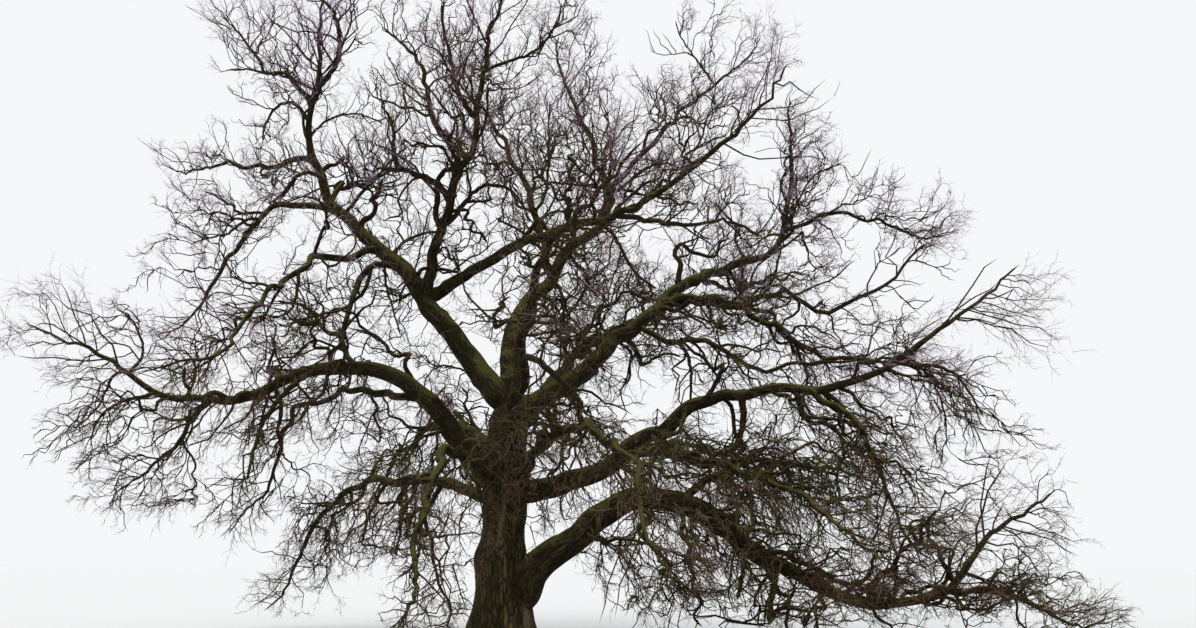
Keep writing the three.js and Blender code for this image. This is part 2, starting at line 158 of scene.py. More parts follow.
class Dice:
    """A seeded run of even random numbers."""

    def __init__(self, seed):
        self.state = ((seed + 1) * SCRAMBLE) % ROLL_RANGE
        self.roll()
        self.roll()

    def roll(self):
        self.state = (self.state * ROLL_FACTOR + ROLL_STEP) % ROLL_RANGE
        return self.state / ROLL_RANGE

    def spread(self, most):
        return (2 * self.roll() - 1) * most

    def seed(self):
        return math.floor(self.roll() * SEED_RANGE)


first_dice = Dice(7)
print("three rolls:", [round(first_dice.roll(), 3) for _ in range(3)])

# %% [markdown]
# Each limb is walked in even steps that follow its profiles. An oak's limb has elbows, where a side shoot
# took over from a tip that died, so every step also swings a few degrees to one side and the next one to
# the other. These are the same steps as the solid model's, so the detailed limbs lie where the solids do.

# %% Walk the limbs
LIMB_CROOK = 12
STEP_LENGTH = 0.72
FEWEST_STEPS = 4
TRUNK_STEPS = 10


def value_at(values, share):
    """The value at a share of the way along an even run of numbers or points."""
    place = min(max(share, 0), 1) * (len(values) - 1)
    below = min(int(place), len(values) - 2)
    return values[below] + (values[below + 1] - values[below]) * (place - below)


def headed(heading, climb):
    turn, rise = math.radians(heading), math.radians(climb)
    return np.array([math.cos(rise) * math.cos(turn), math.cos(rise) * math.sin(turn), math.sin(rise)])


def limb_points(root, limb, steps, crook, dice):
    points = [root]
    for i in range(steps):
        share = (i + 0.5) / steps
        swing = crook if i % 2 == 0 else -crook
        turned = value_at(limb["heading"], share) + swing * dice.roll()
        raised = value_at(limb["climb"], share) + swing * dice.spread(1)
        points.append(points[-1] + headed(turned, raised) * limb["length"] / steps)
    return np.array(points)


def unit(vectors):
    """Vectors of length 1, for one vector or a whole array of them."""
    return vectors / np.maximum(np.linalg.norm(vectors, axis=-1, keepdims=True), 1e-9)


def direction_at(points, share):
    below = min(int(share * (len(points) - 1)), len(points) - 2)
    return unit(points[below + 1] - points[below])


limbs = {"trunk": limb_points(np.zeros(3), TRUNK, TRUNK_STEPS, 0, Dice(0))}
for index, (name, bough) in enumerate(BOUGHS.items()):
    root = value_at(limbs[bough["on"]], bough["at"])
    steps = max(FEWEST_STEPS, math.floor(bough["length"] / STEP_LENGTH + 0.5))
    limbs[name] = limb_points(root, bough, steps, LIMB_CROOK, Dice(index + 1))
print("highest limb tip", round(max(points[-1, 2] for points in limbs.values()), 2), "m")

# %% [markdown]
# ## From lines to wood
# A limb's girth falls faster near its root than near its tip. The trunk has its own girths, a flare where
# it meets the ground, and root swellings round its foot.

# %% Girths
LIMB_TAPER = 1.3
FLARE_RADIUS = 0.12
FLARE_HEIGHT = 0.42
BUTTRESSES = 6
BUTTRESS_DEPTH = 0.09
BUTTRESS_HEIGHT = 0.7


def limb_radius(girth, share):
    root_radius, tip_radius = girth
    return tip_radius + (root_radius - tip_radius) * (1 - share) ** LIMB_TAPER


def trunk_radius(share, angle=0):
    height = share * TRUNK["length"]
    stations = np.linspace(0, 1, len(TRUNK["radii"]))
    girth = np.interp(share, stations, TRUNK["radii"]) + FLARE_RADIUS * np.exp(-height / FLARE_HEIGHT)
    swelling = BUTTRESS_DEPTH * np.exp(-height / BUTTRESS_HEIGHT)
    return girth * (1 + swelling * np.cos(BUTTRESSES * angle))


def radius_of(name, share):
    """The bare radius of the trunk or of a bough at a share of its length."""
    if name == "trunk":
        return float(trunk_radius(share))
    return limb_radius(BOUGHS[name]["girth"], share)


print("trunk is", round(2 * radius_of("trunk", 0.3), 2), "m thick at breast height")

# %% [markdown]
# Straight steps would show as kinks. A Catmull-Rom curve passes through every point of a walk and rounds
# its elbows, so the limb stays in its place. It is worked out in arrays, not as a Blender curve, because
# the bark needs to know how far along and round the limb each point of its surface lies.

# %% Smooth lines
MOSTLY_ALONG_X = 0.9


def smooth_lines(lines, count):
    """Catmull-Rom curves through lines (n, m, 3), each at count even shares of the way along."""
    before = 2 * lines[:, :1] - lines[:, 1:2]
    after = 2 * lines[:, -1:] - lines[:, -2:-1]
    padded = np.concatenate([before, lines, after], axis=1)
    place = np.linspace(0, lines.shape[1] - 1, count)
    below = np.minimum(place.astype(int), lines.shape[1] - 2)
    t = (place - below)[:, None]
    a, b, c, d = (padded[:, below + k] for k in range(4))
    bend = 2 * a - 5 * b + 4 * c - d
    sway = 3 * b - a - 3 * c + d
    return 0.5 * (2 * b + (c - a) * t + bend * t**2 + sway * t**3)


def crooked(lines, count, amount, rng):
    """Smooth lines, each new point pushed a little off its place, except near both ends."""
    smooth = smooth_lines(lines, count)
    step = np.linalg.norm(np.diff(smooth, axis=1), axis=-1).mean(axis=1)
    fade = np.sqrt(np.sin(np.pi * np.linspace(0, 1, count)).clip(0))
    return smooth + rng.normal(size=smooth.shape) * fade[:, None] * (amount * step)[:, None, None]


def ring_frames(lines):
    """For lines (n, m, 3): the direction along them, and two square to it that don't twist."""
    along = np.empty_like(lines)
    along[:, 1:-1] = lines[:, 2:] - lines[:, :-2]
    along[:, 0] = lines[:, 1] - lines[:, 0]
    along[:, -1] = lines[:, -1] - lines[:, -2]
    along = unit(along)
    side = np.empty_like(lines)
    lengthwise = np.abs(along[:, 0, :1]) > MOSTLY_ALONG_X
    last = np.where(lengthwise, np.array([0.0, 1.0, 0.0]), np.array([1.0, 0.0, 0.0]))
    for i in range(lines.shape[1]):
        last = unit(last - along[:, i] * np.sum(last * along[:, i], axis=-1, keepdims=True))
        side[:, i] = last
    return along, side, np.cross(along, side)


print("smoothed:", smooth_lines(limbs["leader"][None], 150).shape)

# %% [markdown]
# Oak bark splits into long plates with dark furrows between them, which run along the limb and join and
# part again. Smooth random values on a grid that is stretched along the limb cross their middle value
# along just such lines, so the furrows are cut there. The grid closes on itself round the limb, and no
# seam shows. The depth is kept with the mesh, because the colour of the bark needs it too: the furrows are
# painted darker, partly for their own colour and partly as painted shade.

# %% Bark relief
PLATE_LENGTH = 0.3
PLATE_WIDTH = 0.085
FEWEST_PLATES = 5
PLATE_SHARE, CHIP_SHARE = 0.74, 0.26
CHIPS_FINER = 2.6
FURROW_SHARE = 0.32
PLATE_ROUNDING = 0.7
WANDER_LENGTH = 0.45
WANDER_COLUMNS = 6
WANDER_WIDTH = 1.6


def grid_noise(along, around, columns, rng):
    """Smooth random values on a grid: along counts cells, and around goes from 0 to 1 and closes."""
    grid = rng.random((int(along.max()) + 2, columns))
    place = (around % 1) * columns
    row, column = along.astype(int), place.astype(int) % columns
    s, t = along - row, place - np.floor(place)
    s, t = s * s * (3 - 2 * s), t * t * (3 - 2 * t)
    beyond = (column + 1) % columns
    low = grid[row, column] * (1 - t) + grid[row, beyond] * t
    high = grid[row + 1, column] * (1 - t) + grid[row + 1, beyond] * t
    return low * (1 - s) + high * s


def bark_height(distance, around, girth, rng):
    """Height of the bark, from 0 in a furrow to 1 on a plate."""
    columns = max(int(round(2 * math.pi * girth / PLATE_WIDTH)), FEWEST_PLATES)
    wander = grid_noise(distance / WANDER_LENGTH, around, WANDER_COLUMNS, rng) - 0.5
    shifted = around + wander * WANDER_WIDTH / columns
    plates = grid_noise(distance / PLATE_LENGTH, shifted, columns, rng)
    chips = grid_noise(distance / PLATE_LENGTH * CHIPS_FINER, shifted, columns * 2, rng)
    edge = np.abs(2 * (PLATE_SHARE * plates + CHIP_SHARE * chips) - 1)
    return np.clip(edge / FURROW_SHARE, 0, 1) ** PLATE_ROUNDING


sample = bark_height(np.linspace(0, 4, 900), np.linspace(0, 6, 900), 0.5, np.random.default_rng(0))
print("share of the bark that is furrow:", round(float(np.mean(sample < 0.5)), 2))

# %% [markdown]
# ## The skin of a limb
# The skin is a grid of rings along the limb. On its bare girth come slow swellings, a few burls where old
# shoots were grown over, a collar where it joins its parent, and the bark. A modifier could push a plain
# tube out by a texture, but a collar or a burl has one place, and arrays give each point its own radius.

# %% Mesh from arrays
def mesh_object(name, corners, quads, triangles, paints, quad_paint=None, triangle_paint=None):
    """An object from corners and faces. The last two arguments say which of the paints each face has."""
    mesh = bpy.data.meshes.new(name)
    corner_of = np.concatenate([quads.ravel(), triangles.ravel()]).astype(np.int32)
    quad_starts = np.arange(len(quads)) * 4
    triangle_starts = len(quads) * 4 + np.arange(len(triangles)) * 3
    starts = np.concatenate([quad_starts, triangle_starts]).astype(np.int32)
    mesh.vertices.add(len(corners))
    mesh.vertices.foreach_set("co", corners.astype(np.float32).ravel())
    mesh.loops.add(len(corner_of))
    mesh.loops.foreach_set("vertex_index", corner_of)
    mesh.polygons.add(len(starts))
    mesh.polygons.foreach_set("loop_start", starts)
    mesh.polygons.foreach_set("use_smooth", np.ones(len(starts), dtype=bool))
    for paint in paints:
        mesh.materials.append(paint)
    if quad_paint is not None:
        dealt = np.concatenate([quad_paint, triangle_paint]).astype(np.int32)
        mesh.polygons.foreach_set("material_index", dealt)
    mesh.update(calc_edges=True)
    made = bpy.data.objects.new(name, mesh)
    bpy.context.scene.collection.objects.link(made)
    return made


def ring_faces(rings, sides):
    """The four-cornered faces between rings of corners, numbered ring by ring."""
    i, j = np.meshgrid(np.arange(rings - 1), np.arange(sides), indexing="ij")
    low, after = i * sides, (j + 1) % sides
    high = low + sides
    return np.stack([low + j, low + after, high + after, high + j], axis=-1).reshape(-1, 4)


print("faces between 3 rings of 8:", len(ring_faces(3, 8)))

# %% [markdown]
# The rings of a limb could come from a curve with a round profile, but then all of them would be smooth
# and even. Here each ring has its own radius at every angle. Two values are kept with each corner for the
# shader: how deep in a furrow it lies, and where it would be if the limb were straight.

# %% Limb skin
SWELLING_LENGTH = 0.55
SWELLING_COLUMNS = 4
SWELLING = 0.16
BURL_SPACING = 0.8
BURL_SIZES = (0.35, 0.8)
BURL_HEIGHTS = (0.2, 0.5)
BARK_LEVEL = 0.7
CAP_FURROWS = [0.5, 0.5]
RELIEF_GIRTHS = [0.03, 0.1, 0.2, 0.5]
RELIEF_DEPTHS = [0.002, 0.007, 0.013, 0.024]


def burls(distance, around, radius, rng):
    """Low round swellings at random places of a limb."""
    total = np.zeros_like(radius)
    length = distance.max()
    for _ in range(int(length / BURL_SPACING)):
        row = rng.integers(len(radius))
        size = radius[row].mean() * rng.uniform(*BURL_SIZES)
        off_along = distance - distance[row, 0]
        off_around = ((around - rng.random() + 0.5) % 1 - 0.5) * 2 * math.pi * radius
        total += size * rng.uniform(*BURL_HEIGHTS) * np.exp(-(off_along**2 + off_around**2) / size**2)
    return total


def keep_on_corners(made, name, kind, field, values):
    """Keeps a value for each corner of a mesh, for its material to read."""
    kept = made.data.attributes.new(name, kind, "POINT")
    kept.data.foreach_set(field, values.astype(np.float32).ravel())


def limb_skin(name, line, sides, bare_radius, material, rng, on_ground=False):
    """A limb round a smooth line. bare_radius takes shares of the way along and angles round it."""
    _, side, other = (frames[0] for frames in ring_frames(line[None]))
    walked = np.concatenate([[0], np.cumsum(np.linalg.norm(np.diff(line, axis=0), axis=1))])
    distance, around = np.meshgrid(walked, np.arange(sides) / sides, indexing="ij")
    angle = around * 2 * math.pi
    radius = bare_radius(distance / walked[-1], angle)
    girth = radius.mean(axis=1, keepdims=True)
    swelling = grid_noise(distance / SWELLING_LENGTH, around, SWELLING_COLUMNS, rng) - 0.5
    height = bark_height(distance, around, float(girth.max()), rng)
    depth = np.interp(girth, RELIEF_GIRTHS, RELIEF_DEPTHS)
    skin = radius * (1 + SWELLING * swelling) + burls(distance, around, radius, rng)
    skin = skin + depth * (height - BARK_LEVEL)
    ring = side[:, None] * np.cos(angle)[..., None] + other[:, None] * np.sin(angle)[..., None]
    corners = (line[:, None] + ring * skin[..., None]).reshape(-1, 3)
    if on_ground:
        corners[:sides, 2] = 0
        corners[:, 2] = np.maximum(corners[:, 2], 0)
    corners = np.vstack([corners, line[0], line[-1]])
    last = (len(line) - 1) * sides
    step = np.arange(sides)
    low_cap = np.stack([(step + 1) % sides, step, np.full(sides, len(corners) - 2)], axis=-1)
    high_cap = np.stack([last + step, last + (step + 1) % sides, np.full(sides, len(corners) - 1)], axis=-1)
    caps = np.vstack([low_cap, high_cap])
    made = mesh_object(name, corners, ring_faces(len(line), sides), caps, [material])
    furrow = np.append(1 - height.ravel(), CAP_FURROWS)
    keep_on_corners(made, "furrow", "FLOAT", "value", furrow)
    straight = np.stack([radius * np.cos(angle), radius * np.sin(angle), distance], axis=-1).reshape(-1, 3)
    straight = np.vstack([straight, straight[0], straight[-1]])
    keep_on_corners(made, "place_on_limb", "FLOAT_VECTOR", "vector", straight)
    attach(made, "root")
    return made


print("bark depth on a 0.4 m thick limb:", float(np.interp(0.2, RELIEF_GIRTHS, RELIEF_DEPTHS)), "m")

# %% [markdown]
# ## Bark and moss, with painted light and shade
# The same two effects are on the trunk, the boughs and the side branches. One is weathered bark: dark
# furrows, partly their own colour and partly painted shade, brown plates and paler streaks that follow the
# limb. The other is moss, which grows where rain lies longest, on the upper sides, in patches, and whose
# pale tones there also stand for painted light from above. Each is a node group, built once and used with
# other values in each material.

# %% Node helpers
def add_node(tree, kind, inputs=None, **settings):
    """A shader node. A value in inputs is set on the socket, and another node's socket is linked to it."""
    made = tree.nodes.new(kind)
    for key, value in settings.items():
        setattr(made, key, value)
    for key, value in (inputs or {}).items():
        if isinstance(value, bpy.types.NodeSocket):
            tree.links.new(value, made.inputs[key])
        else:
            made.inputs[key].default_value = value
    return made


def mix_colours(tree, factor, first, second):
    return add_node(tree, "ShaderNodeMix", {0: factor, 6: first, 7: second}, data_type="RGBA").outputs[2]


def math_node(tree, operation, first, second):
    return add_node(tree, "ShaderNodeMath", {0: first, 1: second}, operation=operation).outputs[0]


def noise(tree, place, scale, detail, roughness=0.5):
    sockets = {"Vector": place, "Scale": scale, "Detail": detail, "Roughness": roughness}
    return add_node(tree, "ShaderNodeTexNoise", sockets).outputs[0]


def ranged(tree, value, low, high, to_low=0.0, to_high=1.0):
    """The value, stretched so that low and high become to_low and to_high, and held between them."""
    sockets = {"Value": value, "From Min": low, "From Max": high, "To Min": to_low, "To Max": to_high}
    return add_node(tree, "ShaderNodeMapRange", sockets).outputs[0]


def shader_group(name, inputs, outputs):
    """An empty node group with named sockets."""
    group = bpy.data.node_groups.new(name, "ShaderNodeTree")
    for label, kind in inputs.items():
        group.interface.new_socket(name=label, in_out="INPUT", socket_type=kind)
    for label, kind in outputs.items():
        group.interface.new_socket(name=label, in_out="OUTPUT", socket_type=kind)
    return group, group.nodes.new("NodeGroupInput").outputs, group.nodes.new("NodeGroupOutput").inputs


helpers = (add_node, mix_colours, math_node, noise, ranged, shader_group)
print("node helpers:", ", ".join(helper.__name__ for helper in helpers))

# %% [markdown]
# Weathered bark has fibres and cracks that are finer than any mesh could hold. They are drawn in a space
# that follows the limb and is squeezed along it, so each spot turns into a long streak. The furrows of the
# mesh come in as a mask, and darken the colour in the same places. This darkening of furrows and cracks is
# partly the bark's own colour and partly painted shade.

# %% Weathered bark, with painted shade in furrows and cracks
COLOUR, NUMBER, PLACE = "NodeSocketColor", "NodeSocketFloat", "NodeSocketVector"
FIBRE_DARKNESS, FIBRE_HEIGHT = 0.45, 0.6
FIBRE_BEND = 0.05
LONG_GRAIN = (1, 1, 0.17)

weathered_bark_and_shade, given, gives = shader_group(
    "weathered_bark_and_shade",
    {"Plates": COLOUR, "Furrows and shade": COLOUR, "Streaks": COLOUR,
     "Furrow": NUMBER, "Cracks": NUMBER, "Place": PLACE},
    {"Colour": COLOUR, "Roughness": NUMBER, "Height": NUMBER})
tree = weathered_bark_and_shade
bend = add_node(tree, "ShaderNodeTexNoise", {"Vector": given["Place"], "Scale": 7.0, "Detail": 3.0})
shift = add_node(tree, "ShaderNodeVectorMath", {0: bend.outputs["Color"], 3: FIBRE_BEND}, operation="SCALE")
bent = add_node(tree, "ShaderNodeVectorMath", {0: given["Place"], 1: shift.outputs[0]}, operation="ADD")
grain = add_node(tree, "ShaderNodeMapping", {"Vector": bent.outputs[0], "Scale": LONG_GRAIN}).outputs[0]
fibres = noise(tree, grain, scale=34.0, detail=6.0, roughness=0.65)
stains = noise(tree, grain, scale=5.0, detail=4.0, roughness=0.6)
cracked = {"Vector": grain, "Scale": given["Cracks"]}
cells = add_node(tree, "ShaderNodeTexVoronoi", cracked, feature="DISTANCE_TO_EDGE")
crack = ranged(tree, cells.outputs["Distance"], low=0.02, high=0.2, to_low=0.9, to_high=0.0)
# Furrows and cracks darken towards the furrow colour: partly the bark's own colour, partly painted shade.
deep = math_node(tree, "MAXIMUM", crack, given["Furrow"])
streaked = mix_colours(tree, ranged(tree, stains, low=0.5, high=0.68), given["Plates"], given["Streaks"])
dark_fibres = math_node(tree, "MULTIPLY", ranged(tree, fibres, low=0.35, high=0.65), FIBRE_DARKNESS)
fibrous = mix_colours(tree, dark_fibres, streaked, given["Furrows and shade"])
tree.links.new(mix_colours(tree, deep, fibrous, given["Furrows and shade"]), gives["Colour"])
plate_height = math_node(tree, "SUBTRACT", 1.0, deep)
fine_height = math_node(tree, "MULTIPLY", fibres, FIBRE_HEIGHT)
tree.links.new(math_node(tree, "ADD", plate_height, fine_height), gives["Height"])
tree.links.new(ranged(tree, fibres, low=0.3, high=0.7, to_low=0.78, to_high=0.97), gives["Roughness"])
print("weathered_bark_and_shade:", len(tree.nodes), "nodes")

# %% [markdown]
# Moss is thickest on the side that faces the sky, and here it also stands for painted light on the upper
# sides: its paler colour there is partly real moss, partly painted top light. How far up a point faces is
# added to a slow noise, which makes patches, and to a quick one, which frays their edges. Where the sum
# passes a limit, moss covers the bark.

# %% Moss on upper sides, with painted top light
# Moss tones; where they cover the upper sides they also stand for painted light from above.
MOSS_AND_TOP_LIGHT_DARK = (0.026, 0.026, 0.006, 1)
MOSS_AND_TOP_LIGHT_PALE = (0.096, 0.090, 0.022, 1)
UPWARD_WEIGHT, TUFT_WEIGHT = 0.55, 0.5

moss_and_top_light, given, gives = shader_group(
    "moss_and_top_light", {"Amount": NUMBER, "Patches": NUMBER}, {"Cover": NUMBER, "Colour": COLOUR})
tree = moss_and_top_light
spot = add_node(tree, "ShaderNodeTexCoord").outputs["Object"]
normal = add_node(tree, "ShaderNodeNewGeometry").outputs["Normal"]
facing = add_node(tree, "ShaderNodeSeparateXYZ", {0: normal}).outputs["Z"]
# Facing up raises the cover: partly real moss, partly painted top light.
upward = math_node(tree, "MULTIPLY", ranged(tree, facing, low=-0.35, high=0.75), UPWARD_WEIGHT)
patches = noise(tree, spot, scale=given["Patches"], detail=5.0, roughness=0.65)
tufts = noise(tree, spot, scale=36.0, detail=5.0)
wanted = math_node(tree, "ADD", upward, patches)
wanted = math_node(tree, "ADD", wanted, given["Amount"])
wanted = math_node(tree, "ADD", wanted, math_node(tree, "MULTIPLY", tufts, TUFT_WEIGHT))
tree.links.new(ranged(tree, wanted, low=1.25, high=1.42), gives["Cover"])
tree.links.new(mix_colours(tree, tufts, MOSS_AND_TOP_LIGHT_DARK, MOSS_AND_TOP_LIGHT_PALE), gives["Colour"])
print("moss_and_top_light:", len(tree.nodes), "nodes")

# %% [markdown]
# Two old wounds show as pale upright streaks on the trunk. A gradient that fades from the middle of a tall
# narrow ball says where each one is, and grain that runs up the trunk makes its edge ragged. They are
# placed in the object's own space, so they stay on the trunk from every side.

# %% Pale scars
PALE_WOOD = (0.23, 0.165, 0.105, 1)
UPRIGHT_GRAIN = (1, 1, 0.15)
TRUNK_SCARS = [
    dict(middle=(-0.07, -0.42, 2.4), lean=8, size=(0.07, 0.5, 0.75), paleness=0.3),
    dict(middle=(0.44, -0.42, 0.6), lean=-4, size=(0.12, 0.6, 0.7), paleness=0.6),
]


def scarred(tree, colour, scars):
    """The colour, with a pale upright streak inside each long round space, ragged at its edge."""
    spot = add_node(tree, "ShaderNodeTexCoord").outputs["Object"]
    upright = add_node(tree, "ShaderNodeMapping", {"Vector": spot, "Scale": UPRIGHT_GRAIN}).outputs[0]
    grain = noise(tree, upright, scale=22.0, detail=5.0)
    for scar in scars:
        tilt = (0, math.radians(scar["lean"]), 0)
        ball = {"Vector": spot, "Location": scar["middle"], "Rotation": tilt, "Scale": scar["size"]}
        inside = add_node(tree, "ShaderNodeMapping", ball, vector_type="TEXTURE").outputs[0]
        depth = add_node(tree, "ShaderNodeTexGradient", {"Vector": inside}, gradient_type="SPHERICAL")
        ragged = math_node(tree, "MULTIPLY", depth.outputs["Fac"], grain)
        cover = ranged(tree, ragged, low=0.08, high=0.36, to_high=scar["paleness"])
        colour = mix_colours(tree, cover, colour, PALE_WOOD)
    return colour


print(len(TRUNK_SCARS), "scars on the trunk")

# %% [markdown]
# Three barks share these effects, each with its own colours and scales, all with painted shade in their
# furrows and cracks and painted top light in their moss. The trunk's is the coarsest and driest. The
# boughs' is darker and mossier. The side branches' is finest, and as their meshes have no carved furrows,
# noise gives them knots instead.

# %% Bark materials
BUMP_STRENGTH = 0.8


def bark_material(name, plates, furrows_and_shade, streaks, cracks, moss_and_top_light_amount, patches, relief, carved=True, scars=()):
    """Weathered bark with painted shade in its furrows, under moss with painted top light. carved says that
    the mesh holds its furrows and its place on the limb.
    """
    made = bpy.data.materials.new(name)
    made.use_nodes = True
    tree = made.node_tree
    shader = tree.nodes["Principled BSDF"]
    if carved:
        furrow = add_node(tree, "ShaderNodeAttribute", attribute_name="furrow").outputs["Fac"]
        place = add_node(tree, "ShaderNodeAttribute", attribute_name="place_on_limb").outputs["Vector"]
    else:
        place = add_node(tree, "ShaderNodeTexCoord").outputs["Object"]
        furrow = ranged(tree, noise(tree, place, scale=22.0, detail=3.0), low=0.56, high=0.66)
    tones = {"Plates": (*plates, 1), "Furrows and shade": (*furrows_and_shade, 1), "Streaks": (*streaks, 1)}
    pattern = {"Cracks": cracks, "Furrow": furrow, "Place": place}
    bark = add_node(tree, "ShaderNodeGroup", tones | pattern, node_tree=weathered_bark_and_shade)
    moss_and_top_light_node = add_node(tree, "ShaderNodeGroup", {"Amount": moss_and_top_light_amount, "Patches": patches}, node_tree=moss_and_top_light)
    colour = mix_colours(tree, moss_and_top_light_node.outputs["Cover"], bark.outputs["Colour"], moss_and_top_light_node.outputs["Colour"])
    tree.links.new(scarred(tree, colour, scars), shader.inputs["Base Color"])
    tree.links.new(bark.outputs["Roughness"], shader.inputs["Roughness"])
    raised = {"Height": bark.outputs["Height"], "Distance": relief, "Strength": BUMP_STRENGTH}
    bump = add_node(tree, "ShaderNodeBump", raised)
    tree.links.new(bump.outputs[0], shader.inputs["Normal"])
    shader.inputs["Specular IOR Level"].default_value = 0.1
    return made


# The furrow colours below are partly the bark's own and partly painted shade; the moss amounts also set how
# much painted top light the upper sides get.
trunk_bark = bark_material(
    "trunk_bark", scars=TRUNK_SCARS,
    plates=(0.046, 0.033, 0.010), furrows_and_shade=(0.007, 0.005, 0.002), streaks=(0.125, 0.096, 0.044),
    cracks=13.0, moss_and_top_light_amount=0.04, patches=0.9, relief=0.02)
bough_bark = bark_material(
    "bough_bark",
    plates=(0.032, 0.024, 0.008), furrows_and_shade=(0.006, 0.005, 0.002), streaks=(0.082, 0.064, 0.028),
    cracks=17.0, moss_and_top_light_amount=0.16, patches=1.1, relief=0.014)
branch_bark = bark_material(
    "branch_bark", carved=False,
    plates=(0.036, 0.023, 0.011), furrows_and_shade=(0.010, 0.006, 0.003), streaks=(0.078, 0.054, 0.028),
    cracks=34.0, moss_and_top_light_amount=0.13, patches=1.6, relief=0.004)
print("bark materials:", trunk_bark.name, bough_bark.name, branch_bark.name)

# %% [markdown]
# ## The trunk
# The trunk leans a little, narrows to a waist and divides well above head height. It closes in a low dome
# that is hidden among the roots of the great boughs.

# %% Trunk
TRUNK_RINGS = 200
TRUNK_SIDES = 132
DOME_START = 0.9
DOME_FLATTENING = 0.9


def trunk_girth(share, angle):
    into_dome = np.clip((share - DOME_START) / (1 - DOME_START), 0, 1)
    return trunk_radius(share, angle) * np.sqrt(1 - DOME_FLATTENING * into_dome**2)


trunk_line = smooth_lines(limbs["trunk"][None], TRUNK_RINGS)[0]
trunk = limb_skin(
    "trunk_bark", trunk_line, TRUNK_SIDES, trunk_girth, trunk_bark, np.random.default_rng(1), on_ground=True)
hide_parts("trunk")
print("trunk:", len(trunk.data.polygons), "faces")

# %% [markdown]
# ## The boughs
# Each bough starts inside its parent and swells into a collar at the parent's surface, as wood does where
# two limbs grow into each other. Thick boughs get more sides, so that their bark can be as fine as the
# trunk's.

# %% Boughs
RING_SPACING = 0.056
SIDE_WIDTH = 0.047
FEWEST_SIDES = 12
COLLAR = 0.38
FULL_COLLAR_GIRTH = 0.14
COLLAR_REACH = 0.9
SUNK_REACH = 1.6
SUNK_GIRTH = 0.5
WANDER_GIRTHS = [0.05, 0.12, 0.25]
WANDERS = [0.2, 0.14, 0.06]


def bough_girth(bough):
    """The bare girth of a bough, with its collar, as a function of share and angle."""
    inside, thick = radius_of(bough["on"], bough["at"]), bough["girth"][0]
    most = COLLAR * min(1, FULL_COLLAR_GIRTH / thick)

    def radius(share, angle):
        distance = share * bough["length"]
        collar = 1 + most * np.exp(-(((distance - inside) / (COLLAR_REACH * thick)) ** 2))
        sunk = np.minimum(1, SUNK_GIRTH + (1 - SUNK_GIRTH) * distance / (SUNK_REACH * inside))
        return limb_radius(bough["girth"], share) * collar * sunk

    return radius


bough_lines = {}
faces = 0
for index, (name, bough) in enumerate(BOUGHS.items()):
    rng = np.random.default_rng(10 + index)
    wander = np.interp(bough["girth"][0], WANDER_GIRTHS, WANDERS)
    bent = crooked(limbs[name][None], 2 * len(limbs[name]), wander, rng)
    rings = int(bough["length"] / RING_SPACING)
    bough_lines[name] = smooth_lines(bent, rings)[0]
    sides = max(FEWEST_SIDES, int(2 * math.pi * bough["girth"][0] / SIDE_WIDTH))
    skin = limb_skin(name + "_bark", bough_lines[name], sides, bough_girth(bough), bough_bark, rng)
    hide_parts(name)
    faces += 2 * len(skin.data.polygons)
print(len(bough_lines), "boughs, about", faces, "triangles")

# %% [markdown]
# ## The rule for twigs
# The solid model ends every bough in a mass of twigs that grow by a seeded rule. The same rule is written
# here again and draws the same twigs, so the detailed crown reaches as far. A stem goes on from the
# bough's tip, side twigs leave it at even turns round it, and each of those bears two more. All of them
# pull away from the heart of the crown. A twig that would leave its space or touch a limb is drawn again.

# %% Spaces and limbs to keep clear of
GROUND_ROOM = 0.2
CROWN_HEART = np.array([0.0, 0.0, 3.0])
OUTWARD_PULL = 0.3
SPACE_SHIFT = 0.42
TWIG_ROOM = 0.012

names = list(BOUGHS)
tips = np.array([limbs[name][-1] for name in names])
tip_headings = np.array([direction_at(limbs[name], 1) for name in names])
space_radii = np.array([BOUGHS[name]["spread"] for name in names])
space_centres = tips + tip_headings * SPACE_SHIFT * space_radii[:, None]


def in_space(point, radius, own):
    """True if a point lies in its own space, on its own side of the planes between spaces."""
    if point[2] < GROUND_ROOM + radius:
        return False
    apart = np.linalg.norm(point - space_centres, axis=1)
    if apart[own] > space_radii[own] - radius:
        return False
    power = apart**2 - space_radii**2
    between = 2 * np.linalg.norm(space_centres - space_centres[own], axis=1)
    between[own] = 1
    room = (power - power[own]) / between
    room[own] = 1
    return bool(np.all(room > radius + TWIG_ROOM))


stretches = [
    (points[i], points[i + 1], radius_of(name, i / (len(points) - 1)), name)
    for name, points in limbs.items() for i in range(len(points) - 1)]
starts, ends, thicknesses, owners = (np.array(column) for column in zip(*stretches))
print(len(starts), "straight stretches of limb,", len(names), "spaces for twigs")

# %% [markdown]
# To know whether a twig touches a limb, both are taken as straight stretches with a radius. The shortest
# distance between two stretches has a short formula, and arrays test one twig against all limbs at once.

# %% Room between a twig and the limbs
PARALLEL = 1e-12


def gaps_to_limbs(a, b):
    """Distances from the stretch a to b to every stretch of limb."""
    ab, cd, between = b - a, ends - starts, a - starts
    aa, cc, ac = ab @ ab, np.sum(cd * cd, axis=1), cd @ ab
    ad, bd = between @ ab, np.sum(cd * between, axis=1)
    spread = aa * cc - ac * ac
    nearest = np.clip((ac * bd - ad * cc) / np.maximum(spread, PARALLEL), 0, 1)
    first = np.where(spread > PARALLEL, nearest, 0)
    second = np.clip((ac * first + bd) / cc, 0, 1)
    again = np.clip((ac * second - ad) / aa, 0, 1)
    return np.linalg.norm(a + ab * again[:, None] - starts - cd * second[:, None], axis=1)


def clear_of_limbs(a, b, radius, spared):
    close = gaps_to_limbs(a, b) <= radius + thicknesses + TWIG_ROOM
    return not np.any(close & (owners != spared))


